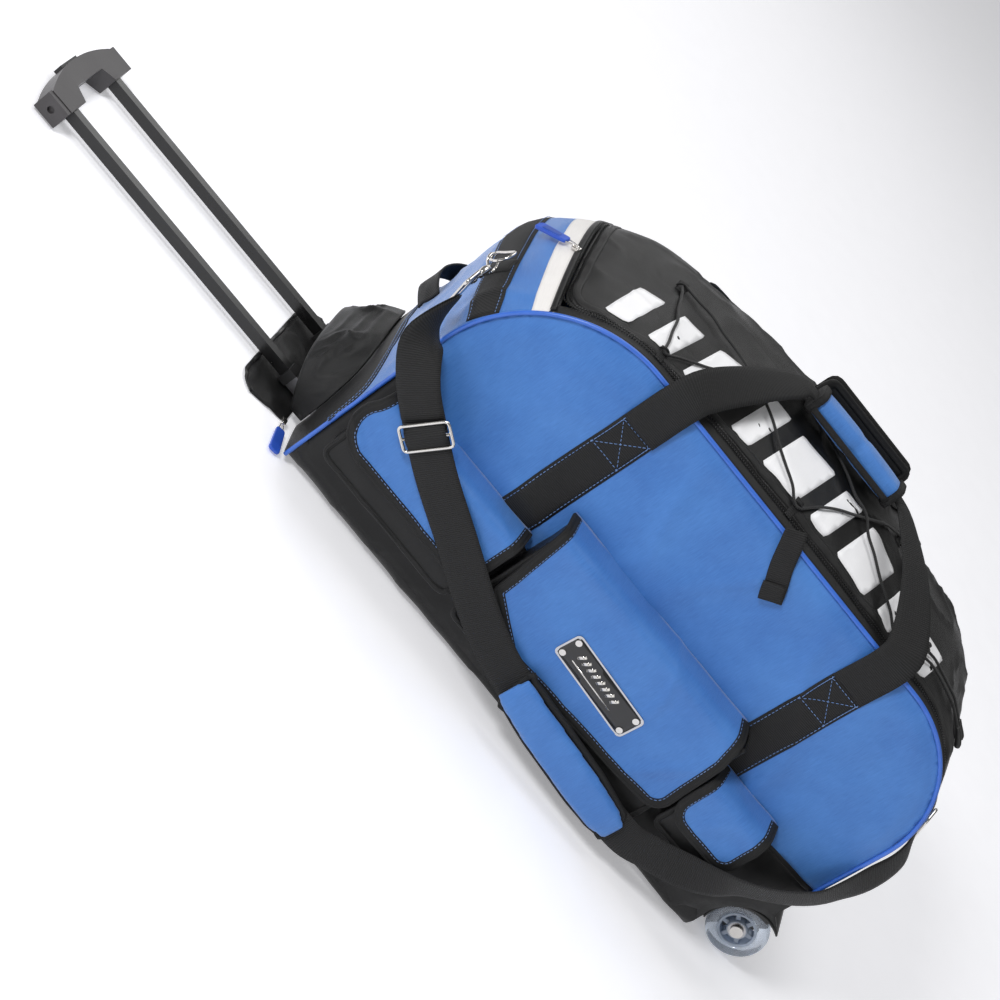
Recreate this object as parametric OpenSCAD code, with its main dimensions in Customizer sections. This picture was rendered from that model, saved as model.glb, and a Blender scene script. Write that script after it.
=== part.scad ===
/* [Bag shell] */
// Half width of the bag between its two side panels
half_w = 176; // [150:1:200]
// Height of the flat top edge of the side panels
top_z = 420; // [400:1:440]
// Thickness of padded fabric walls
wall = 3; // [2:0.5:4]
// Height of the crown of the lid above the side panels
crown_h = 50; // [30:1:55]
// Width of the open strip between the lid's edge and the piping
strip_w = 14; // [10:1:20]

/* [Webbing] */
// Width of the carrying and shoulder webbing
web_w = 50; // [38:1:52]
// Thickness of webbing
web_t = 2; // [1.5:0.1:2]

/* [Pull handle] */
// Centre height of the telescopic tubes
tube_z = 16; // [16:0.5:18]
// Distance from the centre line to each tube
tube_y = 64; // [58:1:70]
// Width of an inner tube
tube_w = 13; // [12:0.5:13]
// Height of an inner tube
tube_h = 14; // [13:0.5:14]
// Wall of an inner tube
tube_wall = 1.2; // [1:0.1:1.5]
// Visible length of the tubes with the handle out
reach = 388; // [300:1:390]
// Travel of the release button
button_travel = 3; // [2:0.5:3]

/* [Wheels] */
// Wheel radius
wheel_r = 39; // [36:0.5:40]
// Wheel width
wheel_t = 24; // [20:1:26]
// Distance from the centre line to a wheel's outer face
wheel_y = 142; // [140:1:146]
// Axle radius
axle_r = 4; // [3:0.5:4]

/* [Pockets] */
// Depth of the side pockets
pocket_d = 34; // [25:1:36]
// Thickness of pocket cloth
cloth_t = 2; // [1.5:0.5:2]

/* [Hidden] */
gap = 0.4;

// side outline: straight back, round shoulder, flat top, round nose, straight front
back_x = -168;
front_x = 605;
base_z = 24;
back_r = 170;
nose_r = 150;
back_len = top_z - back_r - base_z;
back_arc = PI * back_r / 2;
top_len = front_x - nose_r - back_x - back_r;
nose_arc = PI * nose_r / 2;
s_shoulder = back_len;
s_top = s_shoulder + back_arc;
s_nose = s_top + top_len;
s_front = s_nose + nose_arc;
s_lid = 362;
s_hinge = 1068;
s_foot = s_front + 168;
crown = [[0, 14], [s_shoulder, 22], [290, 31], [s_lid, 28], [430, 18], [s_top, 26], [600, crown_h - 3],
    [720, crown_h], [800, 45], [880, 22], [s_nose, 11], [1050, 9], [s_front, 12], [s_foot, 8]];
lid_v = 1 - strip_w / half_w;

// wheels and base
wheel_x = 615;
arch_r = wheel_r + 4.5;
skin_z = 3;
skin_t = 2.5;
floor_half = 165;
board_z = 28;
bearing_r = 11;
bearing_t = 7;
run = 0.05;
axle_in = 96;

// handle: the tubes run in open-bottomed outer rails
outer_x = -228;
outer_len = 516;
outer_clear = 0.4;
outer_wall = 1.6;
rail_w = tube_w + 2 * (outer_clear + outer_wall);
rail_h = tube_h + 2 * (outer_clear + outer_wall);
tube_out = outer_x - reach;
tube_in = -120;
grip_half = 96;
grip_out = -651;
grip_h = 28;
pin_x = -128;
pin_r = 1.9;
rod_r = 2;

// --- shared functions and shapes ---------------------------------------------------------------

function arc(cx, cz, r, a0, a1, n) =
    [for (i = [0:n]) let (a = a0 + (a1 - a0) * i / n) [cx + r * cos(a), cz + r * sin(a)]];

// point and outward normal of the side outline, by distance s from its lower back corner
function rim(s) =
    s < s_shoulder ? [back_x, base_z + s, -1, 0] :
    s < s_top ? let (a = 180 - 90 * (s - s_shoulder) / back_arc)
        [back_x + back_r * (1 + cos(a)), top_z - back_r * (1 - sin(a)), cos(a), sin(a)] :
    s < s_nose ? [back_x + back_r + s - s_top, top_z, 0, 1] :
    s < s_front ? let (a = 90 - 90 * (s - s_nose) / nose_arc)
        [front_x - nose_r * (1 - cos(a)), top_z - nose_r * (1 - sin(a)), cos(a), sin(a)] :
    [front_x, top_z - nose_r - (s - s_front), 1, 0];

// point of the crowned top surface: s along the outline, v across from -1 to 1
function skin(s, v, lift = 0) =
    let (q = rim(s), b = lookup(s, crown) * (1 - v * v) + lift)
    [q[0] + q[2] * b, v * half_w, q[1] + q[3] * b];

function unit(a) = a / norm(a);

// point at a, b, c along the axes u, w and their normal, from o
function local(o, u, w, q) = o + u * q[0] + w * q[1] + cross(u, w) * q[2];

function steps(a, b, n) = [for (i = [0:n]) a + (b - a) * i / n];

// closed sheet between two grids of points
module sheet(outer, inner) {
    m = len(outer[0]);
    n = len(outer);
    k = n * m;
    edge = concat([for (j = [0:m - 1]) j], [for (i = [1:n - 1]) i * m + m - 1],
        [for (j = [m - 2:-1:0]) (n - 1) * m + j], [for (i = [n - 2:-1:1]) i * m]);
    e = len(edge);
    faces = concat(
        [for (i = [0:n - 2], j = [0:m - 2], t = [0, 1]) let (a = i * m + j)
            t == 0 ? [a, a + 1, a + m + 1] : [a, a + m + 1, a + m]],
        [for (i = [0:n - 2], j = [0:m - 2], t = [0, 1]) let (a = k + i * m + j)
            t == 0 ? [a, a + m + 1, a + 1] : [a, a + m, a + m + 1]],
        [for (i = [0:e - 1], t = [0, 1]) let (a = edge[i], b = edge[(i + 1) % e])
            t == 0 ? [a, k + a, b] : [b, k + a, k + b]]);
    polyhedron([for (r = outer) for (q = r) q, for (r = inner) for (q = r) q], faces);
}

// piece of the crowned surface, from lift to lift + t above it
module patch(s0, s1, n, v0, v1, m, lift, t) {
    sheet([for (s = steps(s0, s1, n)) [for (v = steps(v0, v1, m)) skin(s, v, lift + t)]],
        [for (s = steps(s0, s1, n)) [for (v = steps(v0, v1, m)) skin(s, v, lift)]]);
}

// rings of equal point count joined into one closed solid
module loft(rings) {
    m = len(rings[0]);
    n = len(rings);
    faces = concat([[for (j = [0:m - 1]) j]],
        [for (i = [0:n - 2], j = [0:m - 1], t = [0, 1])
            let (a = i * m + j, b = i * m + (j + 1) % m)
            t == 0 ? [a, a + m, b] : [b, a + m, b + m]],
        [[for (j = [m - 1:-1:0]) (n - 1) * m + j]]);
    polyhedron([for (r = rings) for (q = r) q], faces);
}

function heading(p, i) = unit(p[min(i + 1, len(p) - 1)] - p[max(i - 1, 0)]);

// flat webbing along the points p; face holds the outward direction at each point
module ribbon(p, face, w, t) {
    loft([for (i = [0:len(p) - 1])
        let (d = heading(p, i), side = unit(cross(d, face[i])), up = cross(side, d),
            hw = (w[i] == undef ? w : w[i]) / 2, ht = (t[i] == undef ? t : t[i]) / 2)
        [p[i] + side * hw + up * ht, p[i] + side * hw - up * ht,
            p[i] - side * hw - up * ht, p[i] - side * hw + up * ht]]);
}

// round cord along the points p; up is a direction the cord never follows
module tube(p, r, sides, up) {
    loft([for (i = [0:len(p) - 1])
        let (d = heading(p, i), a = unit(cross(d, up)), b = cross(d, a))
        [for (j = [0:sides - 1]) p[i] + a * r * cos(360 * j / sides) + b * r * sin(360 * j / sides)]]);
}

// plate in the side plane: outline in x and z, from y0 to y1
module side_plate(y0, y1) {
    translate([0, max(y0, y1), 0]) rotate([90, 0, 0]) linear_extrude(abs(y1 - y0)) children();
}

// solid along x with an outline in y and z
module along_x(x0, x1) {
    translate([x0, 0, 0]) rotate([90, 0, 90]) linear_extrude(x1 - x0) children();
}

// closed loop of round wire along the points p, which lie in a plane with the normal up
module wire_loop(p, r, sides, up) {
    n = len(p);
    m = sides;
    faces = [for (i = [0:n - 1], j = [0:m - 1], t = [0, 1])
        let (k = (i + 1) % n, a = i * m + j, b = i * m + (j + 1) % m, c = k * m + j, d = k * m + (j + 1) % m)
        t == 0 ? [a, c, b] : [b, c, d]];
    polyhedron([for (i = [0:n - 1])
        let (d = unit(p[(i + 1) % n] - p[(i + n - 1) % n]), a = unit(cross(d, up)), b = cross(d, a))
        for (j = [0:m - 1]) p[i] + a * r * cos(360 * j / m) + b * r * sin(360 * j / m)], faces);
}

// flat rectangular wire ring in its own u, w plane
module frame_ring(o, u, w, len_u, len_w, r) {
    hu = len_u / 2 - 5;
    hw = len_w / 2 - 5;
    wire_loop([for (q = concat(arc(-hu, hw, 5, 180, 90, 3), arc(hu, hw, 5, 90, 0, 3),
        arc(hu, -hw, 5, 0, -90, 3), arc(-hu, -hw, 5, -90, -180, 3))) local(o, u, w, [q[0], q[1], 0])],
        r, 6, cross(u, w));
}

module mirrored() {
    children();
    mirror([0, 1, 0]) children();
}

// --- shell of the bag --------------------------------------------------------------------------

module side_outline(inset) {
    flare = [[617, 97]];
    polygon(concat([for (s = concat(steps(0, s_shoulder, 2), steps(s_shoulder + 15, s_top, 12),
        steps(s_nose, s_front, 12), [s_foot + 1]))
        let (q = rim(s)) [q[0] - q[2] * inset, q[1] - q[3] * inset]],
        flare, arc(wheel_x, wheel_r, arch_r + 7, 78, 192, 12), [[540, base_z + gap]]));
}

module side_panel_near() {
    color("royalblue") side_plate(-half_w, -half_w + wall) side_outline(wall + gap);
}

module side_panel_far() {
    color("royalblue") side_plate(half_w - wall, half_w) side_outline(wall + gap);
}

piping_r = 2.2;
module piping() {
    s_list = concat(steps(10, s_shoulder, 4), steps(s_shoulder + 20, s_top, 12),
        steps(s_top + 60, s_nose - 40, 5), steps(s_nose, s_front, 12), [s_front + 60, s_front + 118]);
    color("royalblue") mirrored()
        tube([for (s = s_list) let (q = rim(s))
            [q[0] - q[2] * piping_r, -half_w - piping_r - gap, q[1] - q[3] * piping_r]],
            piping_r, 6, [0, 1, 0]);
}

module gusset_handle_end() {
    color("royalblue") patch(16, s_lid - 2, 16, -1, 1, 8, -wall, wall);
}

module gusset_wheel_end() {
    color("black") patch(s_hinge + 6, s_foot, 12, -1, 1, 8, -wall, wall);
}

stripe_t = 0.5;
module white_stripes() {
    color("white") {
        patch(332, 352, 2, -0.97, 0.97, 10, gap, stripe_t);
        patch(s_hinge + 10, s_hinge + 34, 2, -0.97, 0.97, 10, gap, stripe_t);
    }
}

module zip_strips() {
    color("black") mirrored()
        patch(s_lid, s_hinge + 4, 30, -1, -lid_v - 0.01, 1, -wall, wall);
}

base_x1 = 560;
module base_skin() {
    color("black") {
        along_x(back_x, base_x1)
            polygon([[-half_w, base_z], [-floor_half, skin_z], [floor_half, skin_z], [half_w, base_z],
                [half_w - skin_t, base_z], [floor_half - 1, skin_z + skin_t],
                [1 - floor_half, skin_z + skin_t], [skin_t - half_w, base_z]]);
        translate([back_x - 18, -112, skin_z]) cube([18, 224, skin_t]);
        translate([base_x1, -86, skin_z]) cube([40, 172, skin_t]);
        translate([base_x1 + 40 - skin_t, -86, skin_z + skin_t]) cube([skin_t, 172, 92]);
    }
}

module base_board() {
    color("dimgray") translate([back_x + 14, -floor_half, board_z])
        cube([base_x1 - back_x - 20, 2 * floor_half, 3]);
}

rail_y = 112;
module skid_rails() {
    color("dimgray") mirrored() side_plate(-rail_y - 8, -rail_y + 8)
        polygon([[-150, 0], [530, 0], [542, skin_z], [-162, skin_z]]);
}

// --- side webbing ------------------------------------------------------------------------------

web_y = half_w + 0.2;
haul_x = [38, 410];
haul_low = [186, 178];
haul_top = 362;
module haul_webbing() {
    color("black") mirrored() for (i = [0, 1])
        translate([haul_x[i] - web_w / 2, -web_y - 1.8, haul_low[i]])
            cube([web_w, 1.8, haul_top - haul_low[i]]);
}

// sewn webbing: the band over the crest, the tab of the end ring, and the doubled tab on the near side
tab_y = half_w + 6;
side_tab = [[232, -tab_y, 426], [252, -tab_y, 392], [276, -tab_y, 358]];
band_s = 282;
band_w = 40;
end_tab = [[613, -62, 321], [625, -71, 311], [632.5, -81, 301]];
module ring_webbing() {
    color("black") {
        patch(band_s - band_w / 2, band_s + band_w / 2, 4, -0.98, 0.98, 10, gap, web_t);
        ribbon(end_tab, [for (i = [0:2]) [0.9, -0.3, 0.4]], 40, web_t);
        ribbon(side_tab, [for (i = [0:2]) [0, -1, 0]], 27, 2.4);
    }
}

// bowed strip of webbing across the end, lift above it at its two ends
function grab_row(lift) = [for (y = steps(-8, 112, 8)) [for (s = [146, 178])
    skin(s, y / half_w, lift + 15 * (1 - pow((y - 52) / 60, 2)))]];
module grab_handle() {
    color("black") sheet(grab_row(3), grab_row(0.6));
}

// --- pockets -----------------------------------------------------------------------------------

pocket_y = half_w + 2.3;
front_y = pocket_y + pocket_d;

// open-topped box pocket on the near side, with rounded lower corners
module pocket_box(x0, x1, z0, z1, r, d = pocket_d) {
    difference() {
        side_plate(-pocket_y - d, -pocket_y) pocket_front(x0, x1, z0, z1, r);
        side_plate(-pocket_y - d + cloth_t, -pocket_y + 1 - cloth_t)
            pocket_front(x0 + cloth_t, x1 - cloth_t, z0 + cloth_t, z1 + 1, r - cloth_t);
    }
}

module pocket_front(x0, x1, z0, z1, r) {
    polygon(concat(arc(x0 + r, z0 + r, r, 180, 270, 6), arc(x1 - r, z0 + r, r, -90, 0, 6),
        [[x1, z1], [x0, z1]]));
}

// hooded flap over a pocket: a front sheet with a short top sheet that reaches the side panel
module pocket_flap(z_top, hood = 8) {
    y1 = front_y + 1;
    intersection() {
        along_x(-400, 800)
            polygon([[-pocket_y, z_top + hood], [-y1, z_top], [-y1 - cloth_t, z_top - 1],
                [-y1 - cloth_t, 40], [-y1, 40], [-y1, z_top - 3], [-pocket_y, z_top + hood - 2.5]]);
        side_plate(-y1 - 5, 0) children();
    }
}

module front_pocket() {
    color("black") pocket_box(-150, 62, 62, 174, 14);
}

module middle_pocket() {
    color("black") pocket_box(80, 400, 56, 232, 14);
}

module rear_pocket() {
    color("black") pocket_box(416, 512, 84, 177, 12);
}

module front_flap() {
    color("royalblue") pocket_flap(178)
        polygon(concat([[66, 200], [-148, 200]], arc(-118, 138, 45, 150, 270, 8), [[66, 92]]));
}

module middle_flap() {
    color("royalblue") pocket_flap(236)
        polygon(concat([[72, 260], [88, 122], [160, 82]], [[356, 92]], arc(384, 118, 24, -75, 10, 6),
            [[402, 200], [380, 260]]));
}

module rear_flap() {
    color("royalblue") pocket_flap(182)
        polygon(concat([[411, 210]], arc(440, 138, 29, 180, 270, 7), arc(492, 131, 22, -90, 0, 7),
            [[513, 160], [508, 210]]));
}

plate_at = [246, 146];
plate_w = 128;
plate_h = 39;
plate_tilt = -4;
plate_y = front_y + 1 + cloth_t + 0.2;
plate_t = 1.2;
rivet_h = 1.6;
rivet_out = plate_y + plate_t + rivet_h;
module plate_frame() {
    translate([plate_at[0], 0, plate_at[1]]) rotate([0, -plate_tilt, 0]) children();
}

// rectangle of half sizes a and b with corners of radius r
module round_box(a, b, r) {
    polygon(concat(arc(a - r, b - r, r, 0, 90, 5), arc(r - a, b - r, r, 90, 180, 5),
        arc(r - a, r - b, r, 180, 270, 5), arc(a - r, r - b, r, 270, 360, 5)));
}

module name_plate() {
    color("silver") plate_frame() difference() {
        side_plate(-plate_y - plate_t, -plate_y) round_box(plate_w / 2, plate_h / 2, 6);
        rivet_places() rotate([90, 0, 0]) translate([0, 0, -300]) cylinder(r = 1.6, h = 600, $fn = 24);
    }
}

module rivet_places() {
    for (i = [-1, 1], j = [-1, 1])
        translate([i * (plate_w / 2 - 8), 0, j * (plate_h / 2 - 8)]) children();
}

module plate_rivets() {
    color("silver") plate_frame() rivet_places() translate([0, -plate_y - plate_t, 0]) rotate([90, 0, 0]) {
        translate([0, 0, -plate_t]) cylinder(r = 1.5, h = plate_t + 0.1, $fn = 24);
        cylinder(r = 4, h = rivet_h, $fn = 24);
    }
}

// long flat pocket on the far side, open along its top edge
module far_pocket() {
    color("black") mirror([0, 1, 0]) pocket_box(-100, 470, 60, 250, 30, rivet_out - pocket_y);
}

// --- handle garage -----------------------------------------------------------------------------

mouth_half = 110;
function face_x(y, z) = back_x - lookup(z - base_z, crown) * (1 - pow(y / half_w, 2));
function hood_root(a) = let (y = -118 * cos(a), z = skin_z + skin_t + 158 * sin(a))
    [face_x(y, z) - gap, y, z];
function hood_rim(a) = [-190 - 50 * sin(a), -mouth_half * cos(a), skin_z + skin_t + 80 * sin(a)];
function hood(a, f, t) = let (p = hood_root(a), q = hood_rim(a))
    [p[0] + (q[0] - p[0]) * f, (p[1] + (q[1] - p[1]) * f) * (1 - t / mouth_half),
        p[2] + (q[2] - p[2]) * f - t * sin(a)];

module handle_garage() {
    color("black") sheet([for (f = steps(0, 1, 3)) [for (a = steps(180, 0, 14)) hood(a, f, 0)]],
        [for (f = steps(0, 1, 3)) [for (a = steps(180, 0, 14)) hood(a, f, 2.5)]]);
}

module garage_flap() {
    color("black") translate([0, 0, 0.2]) linear_extrude(1.4)
        polygon(concat([[-188, -120], [-188, 112]], arc(-226, 76, 34, 90, 180, 6),
            arc(-228, -102, 34, 180, 250, 6)));
}

// --- zips --------------------------------------------------------------------------------------

main_slider = skin(s_lid - 9, -0.3, 3);
garage_slider = [-190, -128, 6];
module slider(o, u, w) {
    ribbon([local(o, u, w, [-6, 0, 0]), local(o, u, w, [6, 0, 0])], [cross(u, w), cross(u, w)], 9, 4);
}

main_u = unit([-0.68, 0.48, -0.54]);
main_w = unit(cross([-0.74, 0, 0.67], main_u));
garage_u = unit([0.2, -0.98, 0]);
garage_w = unit([-0.98, -0.2, 0]);
module zip_sliders() {
    color("silver") {
        slider(main_slider, main_u, main_w);
        slider(garage_slider, garage_u, garage_w);
    }
}

// rubber pull on its wire, starting a step away from its slider
module zip_pull(o, u, w) {
    up = cross(u, w);
    ribbon([local(o, u, w, [7.8, 0, 0.5]), local(o, u, w, [14, 0, 0.5])], [up, up], 4, 2);
    ribbon([local(o, u, w, [14, 0, 0.5]), local(o, u, w, [60, 0, 0.5])], [up, up], 15, 4);
}

module main_zip_pull() {
    color("mediumblue") zip_pull(main_slider + [-1, 0, 3], main_u, main_w);
}

module garage_zip_pull() {
    color("mediumblue") zip_pull(garage_slider - [0, 0, 1], garage_u, garage_w);
}

// --- pull handle -------------------------------------------------------------------------------

module tube_pair() {
    mirrored() translate([0, -tube_y, tube_z]) children();
}

module hollow_bar(x0, x1, w, h, t) {
    difference() {
        translate([x0, -w / 2, -h / 2]) cube([x1 - x0, w, h]);
        translate([x0 - 1, t - w / 2, t - h / 2]) cube([x1 - x0 + 2, w - 2 * t, h - 2 * t]);
    }
}

module outer_tubes() {
    color("gray") tube_pair() difference() {
        hollow_bar(outer_x + 12, outer_x + outer_len, rail_w, rail_h, outer_wall);
        translate([outer_x + 14, -3, -rail_h]) cube([outer_len - 20, 6, rail_h]);
    }
}

module tube_brackets() {
    color("black") tube_pair() {
        hollow_bar(outer_x, outer_x + 12 - 0.1, rail_w + 4, rail_h + 2, outer_wall + 1);
        translate([outer_x + outer_len + 0.2, -14, -rail_h / 2]) cube([10, 28, rail_h]);
    }
}

module inner_tubes() {
    color("black") tube_pair() difference() {
        hollow_bar(tube_out, tube_in, tube_w, tube_h, tube_wall);
        translate([pin_x, 0, -tube_h]) cylinder(r = pin_r + run, h = tube_h, $fn = 24);
    }
}

module lock_pins() {
    color("silver") tube_pair() translate([pin_x, 0, 0.2 - rail_h / 2])
        cylinder(r = pin_r, h = 10, $fn = 24);
}

// cross bar behind the button, with one rod down each tube
bar_x = grip_out + 17;
bar_t = 3;
bar_room = bar_t + button_travel + 2;
module push_rods() {
    color("silver") {
        tube_pair() translate([bar_x + bar_t - 0.5, 0, 0]) rotate([0, 90, 0])
            cylinder(r = rod_r, h = pin_x - 8 - bar_x - bar_t, $fn = 24);
        translate([bar_x, -tube_y - 4, tube_z - 4]) cube([bar_t, 2 * tube_y + 8, 8]);
    }
}

button_half = 22;
button_room = button_travel + gap;
module button_shape(grow, longer = 0) {
    cube([10 + longer, 2 * (button_half + grow), 12 + 2 * grow], center = true);
}

module grip_outline() {
    polygon(concat(arc(grip_out + 260, 0, 260, 160, 200, 16), [[tube_out - 2, -88], [tube_out + 12, -88],
        [tube_out + 12, -46], [tube_out - 8, -36], [tube_out - 8, 36], [tube_out + 12, 46],
        [tube_out + 12, 88], [tube_out - 2, 88]]));
}

module grip() {
    color("dimgray") difference() {
        translate([0, 0, tube_z - grip_h / 2]) linear_extrude(grip_h) grip_outline();
        tube_pair() translate([tube_out, -tube_w / 2, -tube_h / 2]) cube([30, tube_w, tube_h]);
        tube_pair() translate([bar_x, 0, 0]) rotate([0, 90, 0]) cylinder(r = rod_r + gap, h = 40, $fn = 24);
        translate([bar_x - gap, -tube_y - 5, tube_z - 4.5]) cube([bar_room, 2 * tube_y + 10, 9]);
        translate([grip_out + 2 + button_room / 2, 0, tube_z]) button_shape(gap, button_room);
        translate([grip_out, -10 - gap, tube_z - 2 - gap]) cube([18, 20 + 2 * gap, 4 + 2 * gap]);
    }
}

module grip_caps() {
    color("dimgray") mirrored() difference() {
        translate([grip_out + 14, -grip_half, tube_z - 13]) cube([33, 7.6, 26]);
        translate([grip_out + 30, -grip_half - 1, tube_z]) rotate([-90, 0, 0])
            cylinder(r = 4.5, h = 5, $fn = 32);
    }
}

module release_button() {
    color("black") {
        translate([grip_out + 2, 0, tube_z]) button_shape(0);
        translate([grip_out + 7 - gap, -10, tube_z - 2]) cube([bar_x - grip_out - 7 + gap - 0.1, 20, 4]);
    }
}

module button_springs() {
    color("silver") for (y = [-24, 24])
        translate([bar_x + bar_t + 0.1, y, tube_z]) rotate([0, 90, 0]) difference() {
            cylinder(r = 3, h = button_travel + 1.2, $fn = 24);
            translate([0, 0, -1]) cylinder(r = 2.2, h = button_travel + 3, $fn = 24);
        }
}

// --- wheels ------------------------------------------------------------------------------------

// things around a wheel's axle, measured outward from the bag's centre line
module at_wheel(y) {
    translate([wheel_x, -y, wheel_r]) rotate([90, 0, 0]) children();
}

hub_r = 24;
wheel_in = wheel_y - wheel_t;
module tyre_shape() {
    at_wheel(wheel_in) rotate_extrude($fn = 96)
        polygon(concat([[hub_r, 2], [wheel_r - 6, 0]], arc(wheel_r - 6, 6, 6, -90, 0, 5),
            arc(wheel_r - 6, wheel_t - 6, 6, 0, 90, 5), [[hub_r, wheel_t - 2]]));
}

module hub_shape() {
    at_wheel(wheel_in) difference() {
        translate([0, 0, 1]) cylinder(r = hub_r, h = wheel_t - 2, $fn = 96);
        translate([0, 0, -1]) cylinder(r = bearing_r + run, h = bearing_t + 2, $fn = 64);
        translate([0, 0, wheel_t - 1 - bearing_t])
            cylinder(r = bearing_r + run, h = bearing_t + 2, $fn = 64);
        cylinder(r = bearing_r - 3, h = wheel_t, $fn = 64);
        for (i = [0:4]) rotate([0, 0, 72 * i]) translate([17.6, 0, -1])
            cylinder(r = 4.4, h = wheel_t + 2, $fn = 32);
    }
}

module tyre_near() {
    color("lightsteelblue") tyre_shape();
}

module tyre_far() {
    color("lightsteelblue") mirror([0, 1, 0]) tyre_shape();
}

module hub_near() {
    color("lightsteelblue") hub_shape();
}

module hub_far() {
    color("lightsteelblue") mirror([0, 1, 0]) hub_shape();
}

module wheel_bearings() {
    color("silver") mirrored() for (y = [wheel_in + 1, wheel_y - 1 - bearing_t]) at_wheel(y) difference() {
        cylinder(r = bearing_r, h = bearing_t, $fn = 64);
        translate([0, 0, -1]) cylinder(r = axle_r + 0.03, h = bearing_t + 2, $fn = 48);
    }
}

module wheel_axles() {
    color("silver") mirrored() {
        at_wheel(axle_in - 6) cylinder(r = axle_r, h = wheel_y + 1 - axle_in + 6, $fn = 48);
        at_wheel(wheel_y + 0.6) cylinder(r = 8, h = 2.6, $fn = 48);
        at_wheel(axle_in - 6) cylinder(r = 7, h = 4.8, $fn = 6);
    }
}

module wheel_housings() {
    color("black") mirrored() {
        difference() {
            side_plate(-113, -axle_in)
                polygon([[566, 14], [600, 8], [632, 14], [640, 60], [632, 96], [566, 96]]);
            at_wheel(axle_in - 1) cylinder(r = axle_r + 0.1, h = 20, $fn = 48);
        }
        intersection() {
            difference() {
                at_wheel(113) cylinder(r = arch_r + 5, h = 44, $fn = 96);
                at_wheel(112) cylinder(r = arch_r, h = 46, $fn = 96);
            }
            side_plate(-160, -110) polygon([[wheel_x - 60, 26], [wheel_x, 46], [wheel_x + 42, 66],
                [wheel_x + 30, 120], [wheel_x - 60, 120]]);
        }
    }
}

// --- lid, bungee and cord lock -----------------------------------------------------------------

module lid_panel() {
    color("black") patch(s_lid, s_hinge, 26, -lid_v, lid_v, 8, -wall, wall);
}

// lacing: distance along, across, height over the lid
lacing = [[1036, -0.50, 4], [990, -0.54, 4], [950, -0.58, 4], [928, -0.60, 6], [840, -0.06, 4],
    [702, -0.86, 4], [582, -0.46, 8], [462, -0.06, 4], [480, -0.86, 4], [565, -0.46, 4], [650, -0.06, 4],
    [770, -0.46, 8], [905, -0.86, 4], [928, -0.70, 6], [950, -0.66, 4], [990, -0.63, 4], [1036, -0.60, 4]];
cord_r = 1.7;
function lace(i, f) = lacing[i] + (lacing[i + 1] - lacing[i]) * f;
function lace_point(q) = skin(q[0], q[1], q[2]);
lace_cut = [3, 2, 2, 5, 7, 6, 6, 7, 5, 5, 6, 7, 2, 2, 2, 3];
module bungee_cord() {
    p = [for (i = [0:len(lacing) - 2]) for (k = [0:lace_cut[i] - 1]) lace_point(lace(i, k / lace_cut[i]))];
    color("black") tube(concat(p, [lace_point(lacing[len(lacing) - 1])]), cord_r, 8, [0.13, 0.21, 0.97]);
}

loop_places = [[840, -0.06], [702, -0.86], [462, -0.06], [480, -0.86], [650, -0.06], [905, -0.86]];
module bungee_loops() {
    color("black") for (q = loop_places)
        patch(q[0] - 8, q[0] + 8, 2, q[1] - 0.05, q[1] + 0.05, 2, 0.3, 1.6);
}

lock_at = skin(928, -0.65, 9);
plunger_r = 4;
module cord_lock() {
    color("black") translate(lock_at) difference() {
        sphere(r = 8, $fn = 32);
        translate([-20, -20, 3]) cube(40);
        translate([0, 0, -4]) cylinder(r = plunger_r + 0.1, h = 10, $fn = 32);
    }
}

module cord_lock_plunger() {
    color("black") translate(lock_at) cylinder(r = plunger_r, h = 8, $fn = 32);
}

module cord_ends() {
    color("black") for (v = [-0.50, -0.60]) ribbon([skin(1036, v, 4), skin(1056, v, 4.5)],
        [rim_up(1040), rim_up(1040)], 8, 6);
}

function rim_up(s) = let (q = rim(s)) [q[2], 0, q[3]];

// --- carrying handles --------------------------------------------------------------------------

grip_y = [-44, -4];
grip_z = 494;
wrap_x0 = 147;
wrap_x1 = 293;
// one half of the near loop, from the side panel up to the hand grip; the far one is its mirror image
function loop_path(m) = let (y = grip_y[0])
    [[haul_x[m], -tab_y - 0.6, haul_top + 0.6], [haul_x[m], -tab_y - 3, 426], [[48, 400][m], -169, 452],
        [[84, 366][m], -116, 478], [[118, 326][m], y - 22, 491], [[138, 302][m], y, grip_z],
        [[190, 250][m], y, grip_z], [219.8, y, grip_z]];
function far_path(m) = [for (i = [0:7]) let (q = loop_path(m)[i]) i < 4 ? [q[0], -q[1], q[2]] :
    i == 4 ? [q[0], 40, q[2] - 6] : [q[0], grip_y[1], grip_z]];
loop_face = [[0, -1, 0.01], [0, -1, 0.1], [0, -0.75, 0.65], [0, -0.35, 0.93], [0, -0.1, 1], [0, 0, 1],
    [0, 0, 1], [0, 0, 1]];
loop_w = [50, 50, 48, 42, 34, 26, 24, 24];
loop_t = [2, 2, 2, 3, 4, 6, 6, 6];

module near_grip_loop() {
    color("black") for (m = [0, 1]) ribbon(loop_path(m), loop_face, loop_w, loop_t);
}

module far_grip_loop() {
    color("black") for (m = [0, 1])
        ribbon(far_path(m), [for (q = loop_face) [q[0], -q[1], q[2]]], loop_w, loop_t);
}

module wrap(y, x0, x1, w, h, r) {
    translate([0, y, grip_z]) difference() {
        along_x(x0, x1) round_box(w / 2, h / 2, r);
        translate([x0 - 1, -14, -4]) cube([x1 - x0 + 2, 28, 8]);
    }
}

module near_grip_wrap() {
    color("royalblue") wrap(grip_y[0], wrap_x0, wrap_x1, 38, 34, 14);
}

module far_grip_wrap() {
    color("black") wrap(grip_y[1], wrap_x0, wrap_x1, 36, 34, 8);
}

// --- shoulder strap ----------------------------------------------------------------------------

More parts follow.
